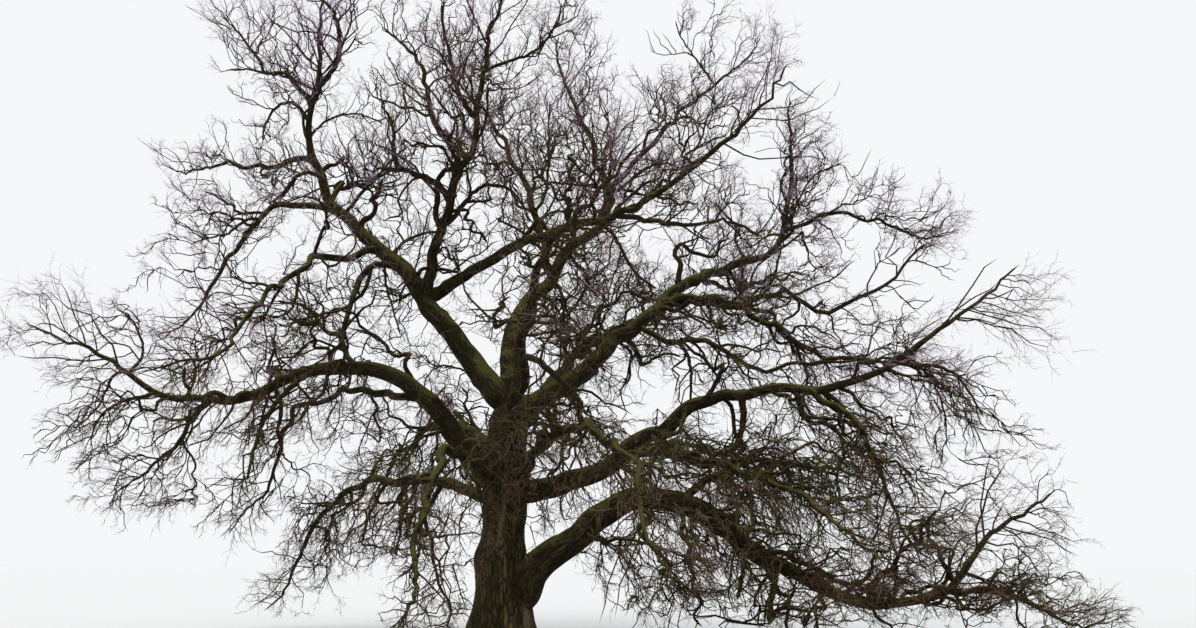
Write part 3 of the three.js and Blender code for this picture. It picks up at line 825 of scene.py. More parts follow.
beyond = tips[0] + tip_headings[0]
room = gaps_to_limbs(beyond, beyond + tip_headings[0]).min()
print("from one to two metres past the leader's tip, the nearest limb is", round(float(room), 2), "m off")

# %% [markdown]
# A twig is drawn in a few steps, each turned a little at random and pulled outwards. If it doesn't fit, it
# is drawn again from the next seed and a little shorter, and after twelve tries it is left out.

# %% Twigs of the masses
STEM_STEPS = 3
STEM_REACH = 1.3
STEM_TIP_SHARE = 0.4
TWIG_THINNER = 0.45
THINNEST = 0.006
TWIG_TIP_SHARE = 0.5
TWIG_CROOK = 16
TWIG_LEVELS = [
    {"steps": 2, "count": 9, "first": 0.1, "splay": 56, "shorter": 0.84},
    {"steps": 1, "count": 2, "first": 0.3, "splay": 46, "shorter": 0.66},
]
LENGTH_SPREAD = 0.22
SPLAY_SPREAD = 12
TURN = 120
FIRST_TURN = 30
TURN_SPREAD = 26
SHORTER_OUT = 0.45
LAST_TWIG = 0.97
TRIES = 12
FIRST_TWIG_SEED = 100
ALMOST_ALONG = 0.1


def turned_out(direction, place):
    return unit(direction + OUTWARD_PULL * unit(place - CROWN_HEART))


def cut_back(attempt):
    """Each new draw of a twig is a little shorter than the one before it."""
    return 1 - attempt / (2 * TRIES)


def twig_points(root, direction, length, steps, dice):
    points, ahead = [root], direction
    for i in range(steps):
        turn = np.array([dice.spread(1), dice.spread(1), dice.spread(1)])
        if i > 0:
            ahead = unit(turned_out(ahead, points[-1]) + turn * math.tan(math.radians(TWIG_CROOK)))
        points.append(points[-1] + ahead * length / steps)
    return np.array(points)


def fitting_twig(draw, radius, own, spared=""):
    """Draws a twig until one stays in its space and touches no limb."""
    for attempt in range(TRIES):
        points = draw(attempt)
        inside = all(in_space(point, radius, own) for point in points[1:])
        if inside and all(clear_of_limbs(a, b, radius, spared) for a, b in zip(points, points[1:])):
            return points
    return None


def square_to(direction, last):
    side = last - direction * (last @ direction)
    if np.linalg.norm(side) < ALMOST_ALONG:
        side = np.array([0.0, 1.0, 0.0]) - direction * direction[1]
    return unit(side)


print("levels of twigs in the solid model:", len(TWIG_LEVELS))

# %% [markdown]
# The rule calls itself: a stem bears twigs, and each of those bears two more, with the next row of numbers.
# The same few lines could grow any number of levels.

# %% Side twigs
def side_twigs(parent, own, level, seed, found):
    """Adds the side twigs of a stem or twig, and theirs in turn, to found."""
    if level == len(TWIG_LEVELS):
        return
    rule, dice = TWIG_LEVELS[level], Dice(seed)
    points = parent["points"]
    sides = ring_frames(points[None])[1][0]
    for k in range(rule["count"]):
        share = rule["first"] + (LAST_TWIG - rule["first"]) * k / (rule["count"] - 1)
        shorter = rule["shorter"] * (1 - SHORTER_OUT * share) * (1 + dice.spread(LENGTH_SPREAD))
        length = parent["length"] * shorter
        thick = parent["radius"] * (1 + (parent["tip_share"] - 1) * share)
        radius = max(thick * TWIG_THINNER, THINNEST)
        root, along = value_at(points, share), direction_at(points, share)
        side = square_to(along, sides[int(share * (len(points) - 1))])
        other = np.cross(side, along)
        own_seed = dice.seed()

        def draw(attempt):
            again = Dice(own_seed + attempt)
            round_it = math.radians(FIRST_TURN + (k + attempt) * TURN + again.spread(TURN_SPREAD))
            splay = math.radians(rule["splay"] + again.spread(SPLAY_SPREAD))
            outward = side * math.cos(round_it) + other * math.sin(round_it)
            ahead = turned_out(outward * math.sin(splay) + along * math.cos(splay), root)
            return twig_points(root, ahead, length * cut_back(attempt), rule["steps"], again)

        drawn = fitting_twig(draw, radius, own)
        if drawn is None:
            continue
        twig = dict(points=drawn, length=length, radius=radius, tip_share=TWIG_TIP_SHARE, own=own)
        found[level].append(twig)
        side_twigs(twig, own, level + 1, own_seed, found)


stems, found = [], [[], []]
for own, name in enumerate(names):
    ahead, reach = tip_headings[own], space_radii[own] * STEM_REACH
    seed = FIRST_TWIG_SEED + own

    def draw(attempt):
        return twig_points(tips[own], ahead, reach * cut_back(attempt), STEM_STEPS, Dice(seed + attempt))

    radius = BOUGHS[name]["girth"][1]
    points = fitting_twig(draw, radius, own, name)
    stems.append(dict(points=points, length=reach, radius=radius, tip_share=STEM_TIP_SHARE, own=own))
    side_twigs(stems[-1], own, 0, seed, found)
print(len(stems), "stems,", len(found[0]), "twigs on them,", len(found[1]), "twigs on those")

# %% [markdown]
# ## Finer than the solids
# A real oak's crown is a tangle of crooked side branches, each with its own shoots, twigs, twiglets and
# spurs, every one about half as long as what bears it. There are more than a hundred thousand, so each
# size is grown at once, as one big array of lines. Where a branch points depends on where it is: high ones
# reach up and out to the light, lower ones sag, and the very lowest turn up again above the ground.

# %% Growing many at once
PULL_HEIGHTS = [0.2, 1.2, 2.5, 4.5, 7.0, 10.0, 14.0]
PULL_LIFTS = [0.7, 0.0, -0.45, -0.4, -0.05, 0.2, 0.3]
TURN_BACK = 0.7
LATER_PULL = 2
SPLAY_SPREAD_FINE = 10


class Shoots(NamedTuple):
    """Many shoots of one size: their lines, lengths, radii at root and tip, and the bough each is on."""

    lines: np.ndarray
    lengths: np.ndarray
    root_radii: np.ndarray
    tip_radii: np.ndarray
    boughs: np.ndarray

    def only(self, kept):
        return Shoots(*(part[kept] for part in self))


def together(groups):
    """One set of shoots from several."""
    return Shoots(*(np.concatenate(parts) for parts in zip(*groups)))


def pull_at(places, strength, lift):
    pull = OUTWARD_PULL * unit(places - CROWN_HEART)
    pull[:, 2] += lift * np.interp(places[:, 2], PULL_HEIGHTS, PULL_LIFTS)
    return strength * pull


def walk(roots, headings, lengths, steps, crook, rng, strength=1.0, lift=1.0):
    """Lines that grow from roots in even steps, each turned at random and pulled as its place asks.
    A turn is partly taken back by the next one, which gives oak's zigzag instead of an arc."""
    points, ahead = [roots], unit(headings + pull_at(roots, strength, lift))
    bend = math.tan(math.radians(crook))
    turn = np.zeros_like(roots)
    for i in range(steps):
        if i > 0:
            turn = rng.uniform(-bend, bend, roots.shape) - TURN_BACK * turn
            ahead = unit(ahead + pull_at(points[-1], strength / steps * LATER_PULL, lift) + turn)
        points.append(points[-1] + ahead * (lengths / steps)[:, None])
    return np.stack(points, axis=1)


def sprout(lines, counts, first, last, splay, rng):
    """Roots and headings of side shoots. Gives the row of each one's parent and its share along it too."""
    parent = np.repeat(np.arange(len(lines)), counts)
    nth = np.arange(len(parent)) - np.repeat(np.cumsum(counts) - counts, counts)
    share = first + (last - first) * (nth + rng.random(len(parent))) / counts[parent]
    place = share * (lines.shape[1] - 1)
    below = np.minimum(place.astype(int), lines.shape[1] - 2)
    start, end = lines[parent, below], lines[parent, below + 1]
    roots = start + (end - start) * (place - below)[:, None]
    along = unit(end - start)
    sideways = unit(np.cross(along, rng.normal(size=along.shape)))
    angle = np.radians(splay + rng.normal(0, SPLAY_SPREAD_FINE, len(parent)))[:, None]
    return parent, share, roots, along * np.cos(angle) + sideways * np.sin(angle)


print("pull at the top of the crown:", pull_at(np.array([[2.0, 0.0, 14.0]]), 1, 1).round(2))

# %% [markdown]
# Nothing may grow out of the crown's own outline. Its reach is a string of balls: one at every half metre
# along the boughs, where side branches grow, and one round each bough's tip. Smaller ones are added later
# along the side limbs.

# %% Reach of the crown
BALL_SPACING = 0.5
BALL_RADIUS = 2.1
FIRST_BALL = 0.15
EDGE_ROOM = 0.01
SOIL_ROOM = 0.14
TRUNK_ROOM = 0.95
BARE_HEIGHT = 2.9

ball_centres, ball_radii = [space_centres], [space_radii]
for name, line in bough_lines.items():
    count = max(int(BOUGHS[name]["length"] / BALL_SPACING), 2)
    along_bough = line[np.linspace(FIRST_BALL * len(line), len(line) - 1, count).astype(int)]
    ball_centres.append(along_bough)
    ball_radii.append(np.full(count, BALL_RADIUS))
ball_centres = np.vstack(ball_centres)
ball_radii = np.concatenate(ball_radii)
low_corner, high_corner = (np.array(corner) for corner in CAD_BOX)
margin = (high_corner - low_corner) * EDGE_ROOM
low_corner, high_corner = low_corner - margin, high_corner + margin
low_corner[2] = SOIL_ROOM


def in_reach(lines):
    """Which lines stay in the crown's box and end within one of its balls."""
    inside = np.all((lines > low_corner) & (lines < high_corner), axis=(1, 2))
    by_trunk = (np.linalg.norm(lines[:, :, :2], axis=2) < TRUNK_ROOM) & (lines[:, :, 2] < BARE_HEIGHT)
    inside &= ~by_trunk.any(axis=1)
    near = np.zeros(len(lines), dtype=bool)
    for centre, radius in zip(ball_centres, ball_radii):
        near |= np.linalg.norm(lines[:, -1] - centre, axis=1) < radius
    return inside & near


print(len(ball_radii), "balls hold the crown")

# %% [markdown]
# Some side limbs give this oak its face: the fork high in the middle, the long limb that wanders off to
# the right, the stubs and hooks along the leader. They are too thin and too many for the solid model, so
# they have a table of their own here. A climb of more than 90 degrees turns a limb back over itself. These
# rows, too, come from a fitting program, all but middle_curl, and the girths were set by hand. The places
# of five were worked out again when right_bough became shorter, so that they stayed where they were.

# %% Side limbs with their own course
SIDE_LIMBS = {
    "high_fork": course(
        "middle_bough", 0.648, 4.54, [154, 134, 142, 153], [41, 44, 54, 78, 67, 49, 42, 40], (0.07, 0.02)),
    "twisted_fork": course(
        "middle_bough", 0.447, 2.55, [-148, -149, -131, -142],
        [64, 38, 10, 5, 62, 93, 72, 32], (0.07, 0.02)),
    "steep_fork": course(
        "middle_bough", 0.819, 2.64, [185, 180, 175, 174], [45, 58, 78, 78, 74, 83, 87], (0.05, 0.02)),
    "tip_fork": course("middle_bough", 1.0, 2.31, [-4, 3, 5], [30, 19, 24, 52, 70, 85], (0.035, 0.015)),
    "middle_curl": course(
        "middle_bough", 0.33, 2.4, [12, 4, -12], [30, 62, 48, -5, -48, -70], (0.055, 0.02)),
    "leader_crossing": course("leader", 0.643, 2.19, [-45, -32], [29, 30, 33, 26], (0.04, 0.02)),
    "leader_curl": course("leader", 0.884, 1.91, [9, 8, 7], [55, 41, 15, -16, -32], (0.03, 0.015)),
    "leader_hook": course(
        "leader", 0.925, 2.03, [154, 163, 173], [48, 55, 10, -48, -73, -99], (0.045, 0.015)),
    "leader_elbow": course(
        "leader", 0.754, 1.73, [-147, -131, -134], [50, -5, -46, -62, -47, -27], (0.045, 0.02)),
    "leader_crook": course(
        "leader", 0.799, 1.81, [157, 156, 155, 160], [41, 24, 1, -15, -29, -107, -158], (0.03, 0.012)),
    "leader_reach": course("leader", 1.0, 3.29, [137, 151, 155], [34, 29, 19, 20, 0], (0.035, 0.015)),
    "leader_top": course("leader", 1.0, 2.73, [213, 193, 174], [127, 124, 93, 86, 61, 27], (0.06, 0.03)),
    "leader_top_fork": course("leader_top", 0.397, 1.19, [-32, -32], [67, 58, 116], (0.03, 0.015)),
    "leader_mossy": course("leader", 0.462, 1.52, [47, 24], [67, 31, 2], (0.04, 0.02)),
    "leader_stub": course("leader", 0.347, 0.8, [-144, -130], [-9, -26, -37, 3], (0.035, 0.015)),
    "leader_hanging": course(
        "leader", 0.482, 2.12, [-90, -51, -41], [-67, -66, -57, -62, -71], (0.03, 0.012)),
    "leader_loop": course("leader", 0.116, 1.74, [-123, -136, -141], [-23, 10, 2, -41, -98], (0.025, 0.01)),
    "west_reach": course(
        "west_upper", 0.528, 1.89, [-123, -123, -138], [4, -35, -49, -21, -23, -40], (0.035, 0.012)),
    "west_hanging": course(
        "west_mid", 0.538, 1.56, [-54, -119, -160], [-44, -69, -76, -49, -14, 37], (0.035, 0.012)),
    "centre_cross": course("centre_bough", 0.704, 1.96, [-154, -152], [-1, -2, -5, -49], (0.035, 0.02)),
    "centre_upright": course(
        "centre_left", 0.327, 2.67, [-38, -77, -88], [22, 73, 88, 77, 64], (0.035, 0.015)),
    "centre_arch": course(
        "centre_bough", 0.688, 2.74, [-30, -32, -17, -21], [-4, 28, 37, 6, -22, -49, -86], (0.04, 0.015)),
    "centre_loop": course(
        "centre_bough", 0.246, 2.73, [-28, -23, -19, -16], [-21, -16, 8, 52, 55, 96, 150], (0.045, 0.015)),
    "centre_low": course(
        "centre_bough", 0.196, 2.4, [-42, -32, -43], [-20, -5, 5, -5, -47, -75], (0.035, 0.012)),
    "cross_level": course("cross_bough", 0.643, 3.78, [25, 41, 31], [3, -2, 9, 21, -6, -21], (0.05, 0.02)),
    "cross_sagging": course(
        "cross_bough", 0.588, 1.83, [-15, -10, -4], [-24, -57, -68, -47, -27], (0.04, 0.02)),
    "top_right_fork": course("centre_right", 0.96, 2.16, [155, 160], [59, 58, 59, 84], (0.03, 0.012)),
    "right_long": course(
        "right_bough", 0.452, 6.48, [1, -15, -21, -12, -20],
        [4, -11, -19, 14, 22, -49, -20, 35, 12, 50, 50, 24], (0.075, 0.02)),
    "right_mossy": course(
        "right_bough", 0.352, 5.29, [-38, -27, -37, -16, -16],
        [-38, -31, -3, -10, -41, -30, 13, 4, -3, -1], (0.065, 0.02)),
    "right_hanging": course("right_mossy", 0.201, 1.51, [-40, -41], [-31, -73, -95, -90], (0.045, 0.02)),
    "right_prop": course("right_bough", 0.132, 1.84, [-69, -39], [-44, -45, -43, -43], (0.04, 0.02)),
    "right_upright": course("right_bough", 0.83, 2.31, [-69, -56, -30], [4, 56, 47, 14, 10], (0.03, 0.012)),
    "right_inward": course("right_bough", 0.809, 1.11, [162, 163], [26, -43, 16], (0.03, 0.012)),
    "left_hanging": course(
        "left_limb", 0.573, 2.91, [-126, -109, -83], [-36, -39, -44, -56, -63, -62], (0.055, 0.02)),
    "left_droop": course(
        "left_limb", 0.925, 1.89, [-112, -114, -106], [-27, -14, -20, -33, -60, -85], (0.035, 0.012)),
    "left_curl": course(
        "left_limb", 1.0, 2.07, [150, 131, 147, 159], [22, -8, -39, -50, -41, -27, -31], (0.03, 0.012)),
    "left_crest": course("left_limb", 1.0, 1.72, [-23, -80, -168], [49, 16, 28, 57, 46, 27], (0.03, 0.012)),
    "left_stub": course("left_limb", 0.201, 1.68, [-126, -125], [-16, -13, -38, -65], (0.04, 0.015)),
    "east_reach": course("east_limb", 0.94, 1.96, [-22, -34, -30], [-27, -4, -39, -66, -64], (0.04, 0.012)),
    "east_wisp": course("east_limb", 0.95, 2.05, [22, 33, 30], [-13, -38, -64, -81, -110], (0.03, 0.01)),
    "east_hanging": course(
        "east_limb", 0.759, 1.85, [-18, -19, -16], [-25, -51, -60, -65, -61], (0.035, 0.01)),
    "under_fork": course("east_under", 0.452, 1.7, [22, 33], [-2, 22, 18, -52], (0.035, 0.012)),
    "low_stub": course("low_limb", 0.452, 1.36, [-64, -78], [-19, -29, -57], (0.05, 0.02)),
    "low_hanging": course(
        "low_limb", 0.427, 1.94, [-88, -64, -65], [-44, -57, -69, -87, -89], (0.03, 0.01)),
    "low_level": course("low_limb", 0.241, 3.38, [-83, -38, -11], [-31, -9, 5, -16, -20, 4], (0.04, 0.012)),
    "low_wisp": course("low_level", 0.698, 0.97, [-60, -50], [-27, -137, -49], (0.02, 0.008)),
    "low_wisp_inner": course("low_level", 0.432, 1.11, [-39, -42], [-123, -48, -127], (0.02, 0.008)),
    "low_outer": course("low_limb", 0.975, 1.16, [12, 13], [-3, -43, -31], (0.03, 0.01)),
}
print(len(SIDE_LIMBS), "side limbs,", round(sum(limb["length"] for limb in SIDE_LIMBS.values())), "m in all")

# %% [markdown]
# The side limbs are walked like the boughs, but from the detailed lines, and one may spring from another.
# Each belongs to the bough that bears it in the end. The reach of the crown grows along them, so that
# their own branches have room.

# %% Walk the side limbs
ARM_POINTS = 25
FINE_STEPS = 48
SIDE_LIMB_WANDER = 0.12
SIDE_BALL_RADIUS = 1.3
SIDE_BALL_EVERY = 3
SIDE_LIMB_STOUTNESS = 1.15

rng = np.random.default_rng(200)
named_lines = dict(bough_lines)
home_bough = {name: own for own, name in enumerate(names)}
for name, limb in SIDE_LIMBS.items():
    root = value_at(named_lines[limb["on"]], limb["at"])
    walked = smooth_lines(limb_points(root, limb, FINE_STEPS, 0, Dice(0))[None], ARM_POINTS)
    named_lines[name] = crooked(walked, ARM_POINTS, SIDE_LIMB_WANDER, rng)[0]
    home_bough[name] = home_bough[limb["on"]]
placed_girths = SIDE_LIMB_STOUTNESS * np.array([limb["girth"] for limb in SIDE_LIMBS.values()])
placed = Shoots(
    np.array([named_lines[name] for name in SIDE_LIMBS]),
    np.array([limb["length"] for limb in SIDE_LIMBS.values()]),
    placed_girths[:, 0], placed_girths[:, 1], np.array([home_bough[name] for name in SIDE_LIMBS]))
side_balls = placed.lines[:, ::SIDE_BALL_EVERY].reshape(-1, 3)
ball_centres = np.vstack([ball_centres, side_balls])
ball_radii = np.concatenate([ball_radii, np.full(len(side_balls), SIDE_BALL_RADIUS)])
print("side limbs on", len(set(placed.boughs)), "boughs,", len(ball_radii), "balls")

# %% [markdown]
# A crowded part of a crown shades itself, and its weaker twigs die and drop. The same is done here, cube by
# cube: where one holds too many, only some are kept, picked at random. It also evens out the haze.

# %% Shade
SHADE_CUBE = 0.6
FULLNESS = {
    "leader": 0.9, "west_high": 0.7, "crown_left": 0.8, "west_upper": 0.9, "west_mid": 0.9,
    "left_limb": 0.85, "left_inner": 1.1, "low_left": 1.3, "front_drop": 0.9,
    "middle_bough": 1.6, "cross_bough": 1.1, "centre_bough": 1.3, "centre_left": 1.4, "centre_right": 1.2,
    "right_bough": 1.5, "right_shoulder": 1.5, "right_arm": 1.4, "east_limb": 1.6, "east_drop": 1.8,
    "east_under": 2.0, "low_limb": 2.2, "low_limb_tip": 1.8, "low_limb_up": 2.4,
    "north_bough": 1.2, "north_low": 1.2, "south_bough": 1.1, "south_low": 0.9,
}
CUBE_PRIMES = np.array([73856093, 19349663, 83492791])
fullness = np.array([FULLNESS.get(name, 1.0) for name in names])


def cube_numbers(places, size):
    """One number for each place, the same for all places in one cube."""
    cube = np.floor(places / size).astype(np.int64)
    return np.bitwise_xor.reduce(cube * CUBE_PRIMES, axis=1)


def thinned(shoots, most, rng):
    """At most so many shoots end in each cube, times the fullness of their bough."""
    order = rng.permutation(len(shoots.lines))
    cubes = cube_numbers(shoots.lines[order, -1], SHADE_CUBE)
    by_cube = np.argsort(cubes, kind="stable")
    firsts = np.concatenate([[0], np.flatnonzero(np.diff(cubes[by_cube])) + 1])
    sizes = np.diff(np.append(firsts, len(cubes)))
    nth = np.empty(len(cubes), dtype=int)
    nth[by_cube] = np.arange(len(cubes)) - np.repeat(firsts, sizes)
    kept = order[nth < most * fullness[shoots.boughs[order]]]
    return shoots.only(np.sort(kept))


print("fullest bough:", names[int(fullness.argmax())], "and barest:", names[int(fullness.argmin())])

# %% [markdown]
# Between them, side branches are dealt out evenly along every bough, on all sides of the tree. Each takes a
# share of the girth of what bears it, is longer the thicker it is, and bears forks of its own.

# %% Side branches
ARM_SPACING = 1.0
FIRST_ARM, LAST_ARM = 0.26, 0.97
ARM_STEPS = 9
ARM_CROOK = 38
ARM_WANDER = 0.07
ARM_PULL = 0.8
ARM_SPLAY = 60
ARM_SHARE_OF_BEARER = 0.64
THICKEST_ARM = 0.066
ARM_GIRTHS = (0.7, 1.1)
SHORTEST_ARM, LENGTH_FOR_RADIUS = 0.95, 30
ARM_LENGTHS = (0.75, 1.15)
ARM_TIP_SHARE, THINNEST_ARM_TIP = 0.42, 0.009
FORK_SPACING = 0.42
FIRST_FORK = 0.2
FORK_STEPS = 6
FORK_POINTS = 9
FORKS_IN_CUBE = 1.6
LINE_POINTS = 60


def arms_on(lines, counts, bearer_radii, boughs, first, steps, points, rng):
    """Crooked side branches. bearer_radii has the radius at root and tip of what bears them."""
    bearer, share, roots, headings = sprout(lines, counts, first, LAST_ARM, ARM_SPLAY, rng)
    thick = limb_radius(bearer_radii[bearer].T, share)
    radii = np.minimum(thick * ARM_SHARE_OF_BEARER, THICKEST_ARM) * rng.uniform(*ARM_GIRTHS, len(thick))
    lengths = (SHORTEST_ARM + LENGTH_FOR_RADIUS * radii) * rng.uniform(*ARM_LENGTHS, len(thick))
    walks = walk(roots, headings, lengths, steps, ARM_CROOK, rng, strength=ARM_PULL)
    walks = crooked(walks, points, ARM_WANDER, rng)
    tip_radii = np.maximum(radii * ARM_TIP_SHARE, THINNEST_ARM_TIP)
    return Shoots(walks, lengths, radii, tip_radii, boughs[bearer]).only(in_reach(walks))


def counts_for(lengths, spacing):
    return np.maximum((lengths / spacing).round().astype(int), 2)


limb_lines = np.stack([smooth_lines(bough_lines[name][None], LINE_POINTS)[0] for name in names])
limb_lengths = np.array([BOUGHS[name]["length"] for name in names])
limb_girths = np.array([BOUGHS[name]["girth"] for name in names])
every_bough = np.arange(len(names))
arm_counts = counts_for(limb_lengths * fullness, ARM_SPACING)
arms = together([placed, arms_on(
    limb_lines, arm_counts, limb_girths, every_bough, FIRST_ARM, ARM_STEPS, ARM_POINTS, rng)])
arm_girths = np.stack([arms.root_radii, arms.tip_radii], axis=1)
fork_counts = counts_for(arms.lengths, FORK_SPACING)
forks = arms_on(arms.lines, fork_counts, arm_girths, arms.boughs, FIRST_FORK, FORK_STEPS, FORK_POINTS, rng)
forks = thinned(forks, FORKS_IN_CUBE, rng)
print(len(arms.lines), "side branches and", len(forks.lines), "forks of them")

# %% [markdown]
# Shoots come next, on the boughs, the side branches, the forks, and the stem that goes on from each
# bough's tip. The twigs of the solid model join them as they are, only bent as real ones are, so the crown
# stays full wherever the solid one has twigs.

# %% Shoots
SHOOT_SPLAY = 54
LAST_SHOOT = 0.98
SHORTER_SHOOTS = 0.35
SHOOT_STEPS = 5
SHOOT_POINTS = 6
SHOOT_CROOK = 34
SHOOT_WANDER = 0.1
THINNEST_SHOOT, THICKER_FOR_LENGTH = 0.0065, 0.0105
SHOOT_TIP_SHARE = 0.45
SHOOT_SPACING = 0.6
ARM_SHOOT_SPACING = 0.45
SHOOTS_ON_FORK = 3
SHOOTS_ON_STEM = 6
DRAWN_WANDER = 0.13
STEM_POINTS = 14
STEM_WANDER = 0.15
STEM_THIN_TIP = 0.3


def shoots_on(lines, counts, boughs, first, lengths, rng):
    """Shoots from first to near the end of each line. lengths are the shortest and the longest."""
    parent, share, roots, headings = sprout(lines, counts, first, LAST_SHOOT, SHOOT_SPLAY, rng)
    lengths = rng.uniform(*lengths, len(parent)) * (1 - SHORTER_SHOOTS * share)
    walks = walk(roots, headings, lengths, SHOOT_STEPS, SHOOT_CROOK, rng)
    walks = crooked(walks, SHOOT_POINTS, SHOOT_WANDER, rng)
    radii = THINNEST_SHOOT + THICKER_FOR_LENGTH * lengths
    return Shoots(walks, lengths, radii, radii * SHOOT_TIP_SHARE, boughs[parent])


def drawn_shoots(twigs, rng):
    """Twigs of the solid model, bent as real ones are."""
    lines = np.concatenate([crooked(t["points"][None], SHOOT_POINTS, DRAWN_WANDER, rng) for t in twigs])
    lengths, radii, own = (np.array([t[key] for t in twigs]) for key in ("length", "radius", "own"))
    return Shoots(lines, lengths, radii, radii * TWIG_TIP_SHARE, own)


stem_lines = crooked(np.stack([stem["points"] for stem in stems]), STEM_POINTS, STEM_WANDER, rng)
stem_radii = np.array([stem["radius"] for stem in stems])
stem_lengths = np.array([stem["length"] for stem in stems])
stem_set = Shoots(stem_lines, stem_lengths, stem_radii, stem_radii * STEM_THIN_TIP, every_bough)
bough_counts = counts_for(limb_lengths * fullness, SHOOT_SPACING)
arm_counts = counts_for(arms.lengths, ARM_SHOOT_SPACING)
fork_counts = np.full(len(forks.lines), SHOOTS_ON_FORK)
stem_counts = np.full(len(stems), SHOOTS_ON_STEM)
grown = together([
    shoots_on(limb_lines, bough_counts, every_bough, first=0.24, lengths=(0.5, 1.2), rng=rng),
    shoots_on(arms.lines, arm_counts, arms.boughs, first=0.15, lengths=(0.6, 1.3), rng=rng),
    shoots_on(forks.lines, fork_counts, forks.boughs, first=0.15, lengths=(0.5, 1.1), rng=rng),
    shoots_on(stem_lines, stem_counts, every_bough, first=0.05, lengths=(0.8, 1.5), rng=rng)])
drawn = together([drawn_shoots(level, rng) for level in found])
shoots = together([grown.only(in_reach(grown.lines)), drawn])
print(len(shoots.lines), "shoots,", len(drawn.lines), "of them as in the solid model")

# %% [markdown]
# Thin shoots also hang like a veil from the undersides of the great limbs and down the upper trunk, where
# sleeping buds woke up in the bark. They are grown the same way, with a pull straight down.

# %% Hanging shoots
HANGING = {
    "leader": 12, "left_limb": 16, "low_left": 14, "left_inner": 8, "centre_bough": 8, "cross_bough": 14,
    "right_bough": 14, "right_arm": 12, "east_limb": 18, "east_under": 16, "low_limb": 34, "low_limb_up": 12,
    "east_drop": 10, "north_low": 8, "south_low": 6, "front_drop": 6,
}
HANGING_ON_TRUNK = 70
FIRST_HANGING, LAST_HANGING = 0.08, 0.97
TRUNK_VEIL_START = 0.6
HANGING_SPLAY = 75
HANGING_CROOK = 24
HANGING_PULL = np.array([0.0, 0.0, 1.3])


def hanging_on(lines, counts, boughs, first, lengths, rng):
    """Thin shoots that hang from lines. lengths are the shortest and the longest."""
    parent, share, roots, headings = sprout(lines, counts, first, LAST_HANGING, HANGING_SPLAY, rng)
    lengths = rng.uniform(*lengths, len(parent))
    down = unit(headings - HANGING_PULL)
    walks = walk(roots, down, lengths, SHOOT_STEPS, HANGING_CROOK, rng, strength=0.0)
    walks = crooked(walks, SHOOT_POINTS, SHOOT_WANDER, rng)
    radii = np.full(len(parent), THINNEST_SHOOT)
    return Shoots(walks, lengths, radii, radii * SHOOT_TIP_SHARE, boughs[parent])


counts = np.array([HANGING.get(name, 0) for name in names])
on_trunk, middle = np.array([HANGING_ON_TRUNK]), np.array([names.index("centre_bough")])
hanging = together([
    hanging_on(limb_lines, counts, every_bough, FIRST_HANGING, lengths=(0.5, 1.1), rng=rng),
    hanging_on(trunk_line[None], on_trunk, middle, TRUNK_VEIL_START, lengths=(0.8, 1.5), rng=rng)])
hanging = hanging.only(in_reach(hanging.lines))
shoots = together([shoots, hanging])
print(len(hanging.lines), "hanging shoots")

# %% [markdown]
# The last three sizes are the haze itself: twigs on the shoots, twiglets on the twigs, spurs on the
# twiglets. One rule grows them all, with other numbers for each size. Only the twigs are thinned by shade,
# and what they bear goes with them.

# %% Twigs, twiglets and spurs
TWIGS_IN_CUBE = 5
LONELY_CUBE = 1.3
FEWEST_NEIGHBOURS = 9
TIPWARD_SHORTER = 0.4
LENGTH_RATIOS = (0.6, 1.4)
FINE_PULL = 0.5
FINE_SPLAY = 48
TWIG = dict(
    count=3.4, first=0.12, shorter=0.66, steps=3, crook=34, radius=0.0062, tip_share=0.45, lift=0.5)
TWIGLET = dict(
    count=4.8, first=0.08, shorter=0.52, steps=1, crook=34, radius=0.0044, tip_share=0.3, lift=0.2)
SPUR = dict(
    count=1.15, first=0.15, shorter=0.6, steps=1, crook=20, radius=0.0032, tip_share=0.2, lift=0.0)


def in_company(shoots):
    """Only the shoots whose wider surroundings hold several more, so that no stray spray sticks out."""
    cubes = cube_numbers(shoots.lines[:, -1], LONELY_CUBE)
    _, cube_of, sizes = np.unique(cubes, return_inverse=True, return_counts=True)
    return shoots.only(sizes[cube_of] > FEWEST_NEIGHBOURS)


def finer(parents, rng, count, first, shorter, steps, crook, radius, tip_share, lift):
    """The next finer size: count on each parent, on average, and shorter says how much shorter each is."""
    counts = rng.poisson(count, len(parents.lines))
    parent, share, roots, headings = sprout(parents.lines, counts, first, 1.0, FINE_SPLAY, rng)
    lengths = parents.lengths[parent] * shorter * (1 - TIPWARD_SHORTER * share)
    lengths = lengths * rng.uniform(*LENGTH_RATIOS, len(parent))
    walks = walk(roots, headings, lengths, steps, crook, rng, strength=FINE_PULL, lift=lift)
    radii = np.full(len(parent), radius)
    made = Shoots(walks, lengths, radii, radii * tip_share, parents.boughs[parent])
    return made.only(np.all((walks > low_corner) & (walks < high_corner), axis=(1, 2)))


rng = np.random.default_rng(300)
twigs = finer(shoots, rng, **TWIG)
twigs_grown = len(twigs.lines)
twigs = in_company(thinned(twigs, TWIGS_IN_CUBE, rng))
twiglets = finer(twigs, rng, **TWIGLET)
spurs = finer(twiglets, rng, **SPUR)
print(twigs_grown, "twigs grown,", len(twigs.lines), "kept")
print(len(twiglets.lines), "twiglets,", len(spurs.lines), "spurs")

# %% [markdown]
# ## Tubes round the lines
# A branch as thick as an arm has six sides and bark. A twig a few millimetres thick needs only three
# sides and a point, and from a few steps away nobody can tell. Every line of one size becomes a tube in a
# single array operation, which takes seconds where one object for each twig would take hours.

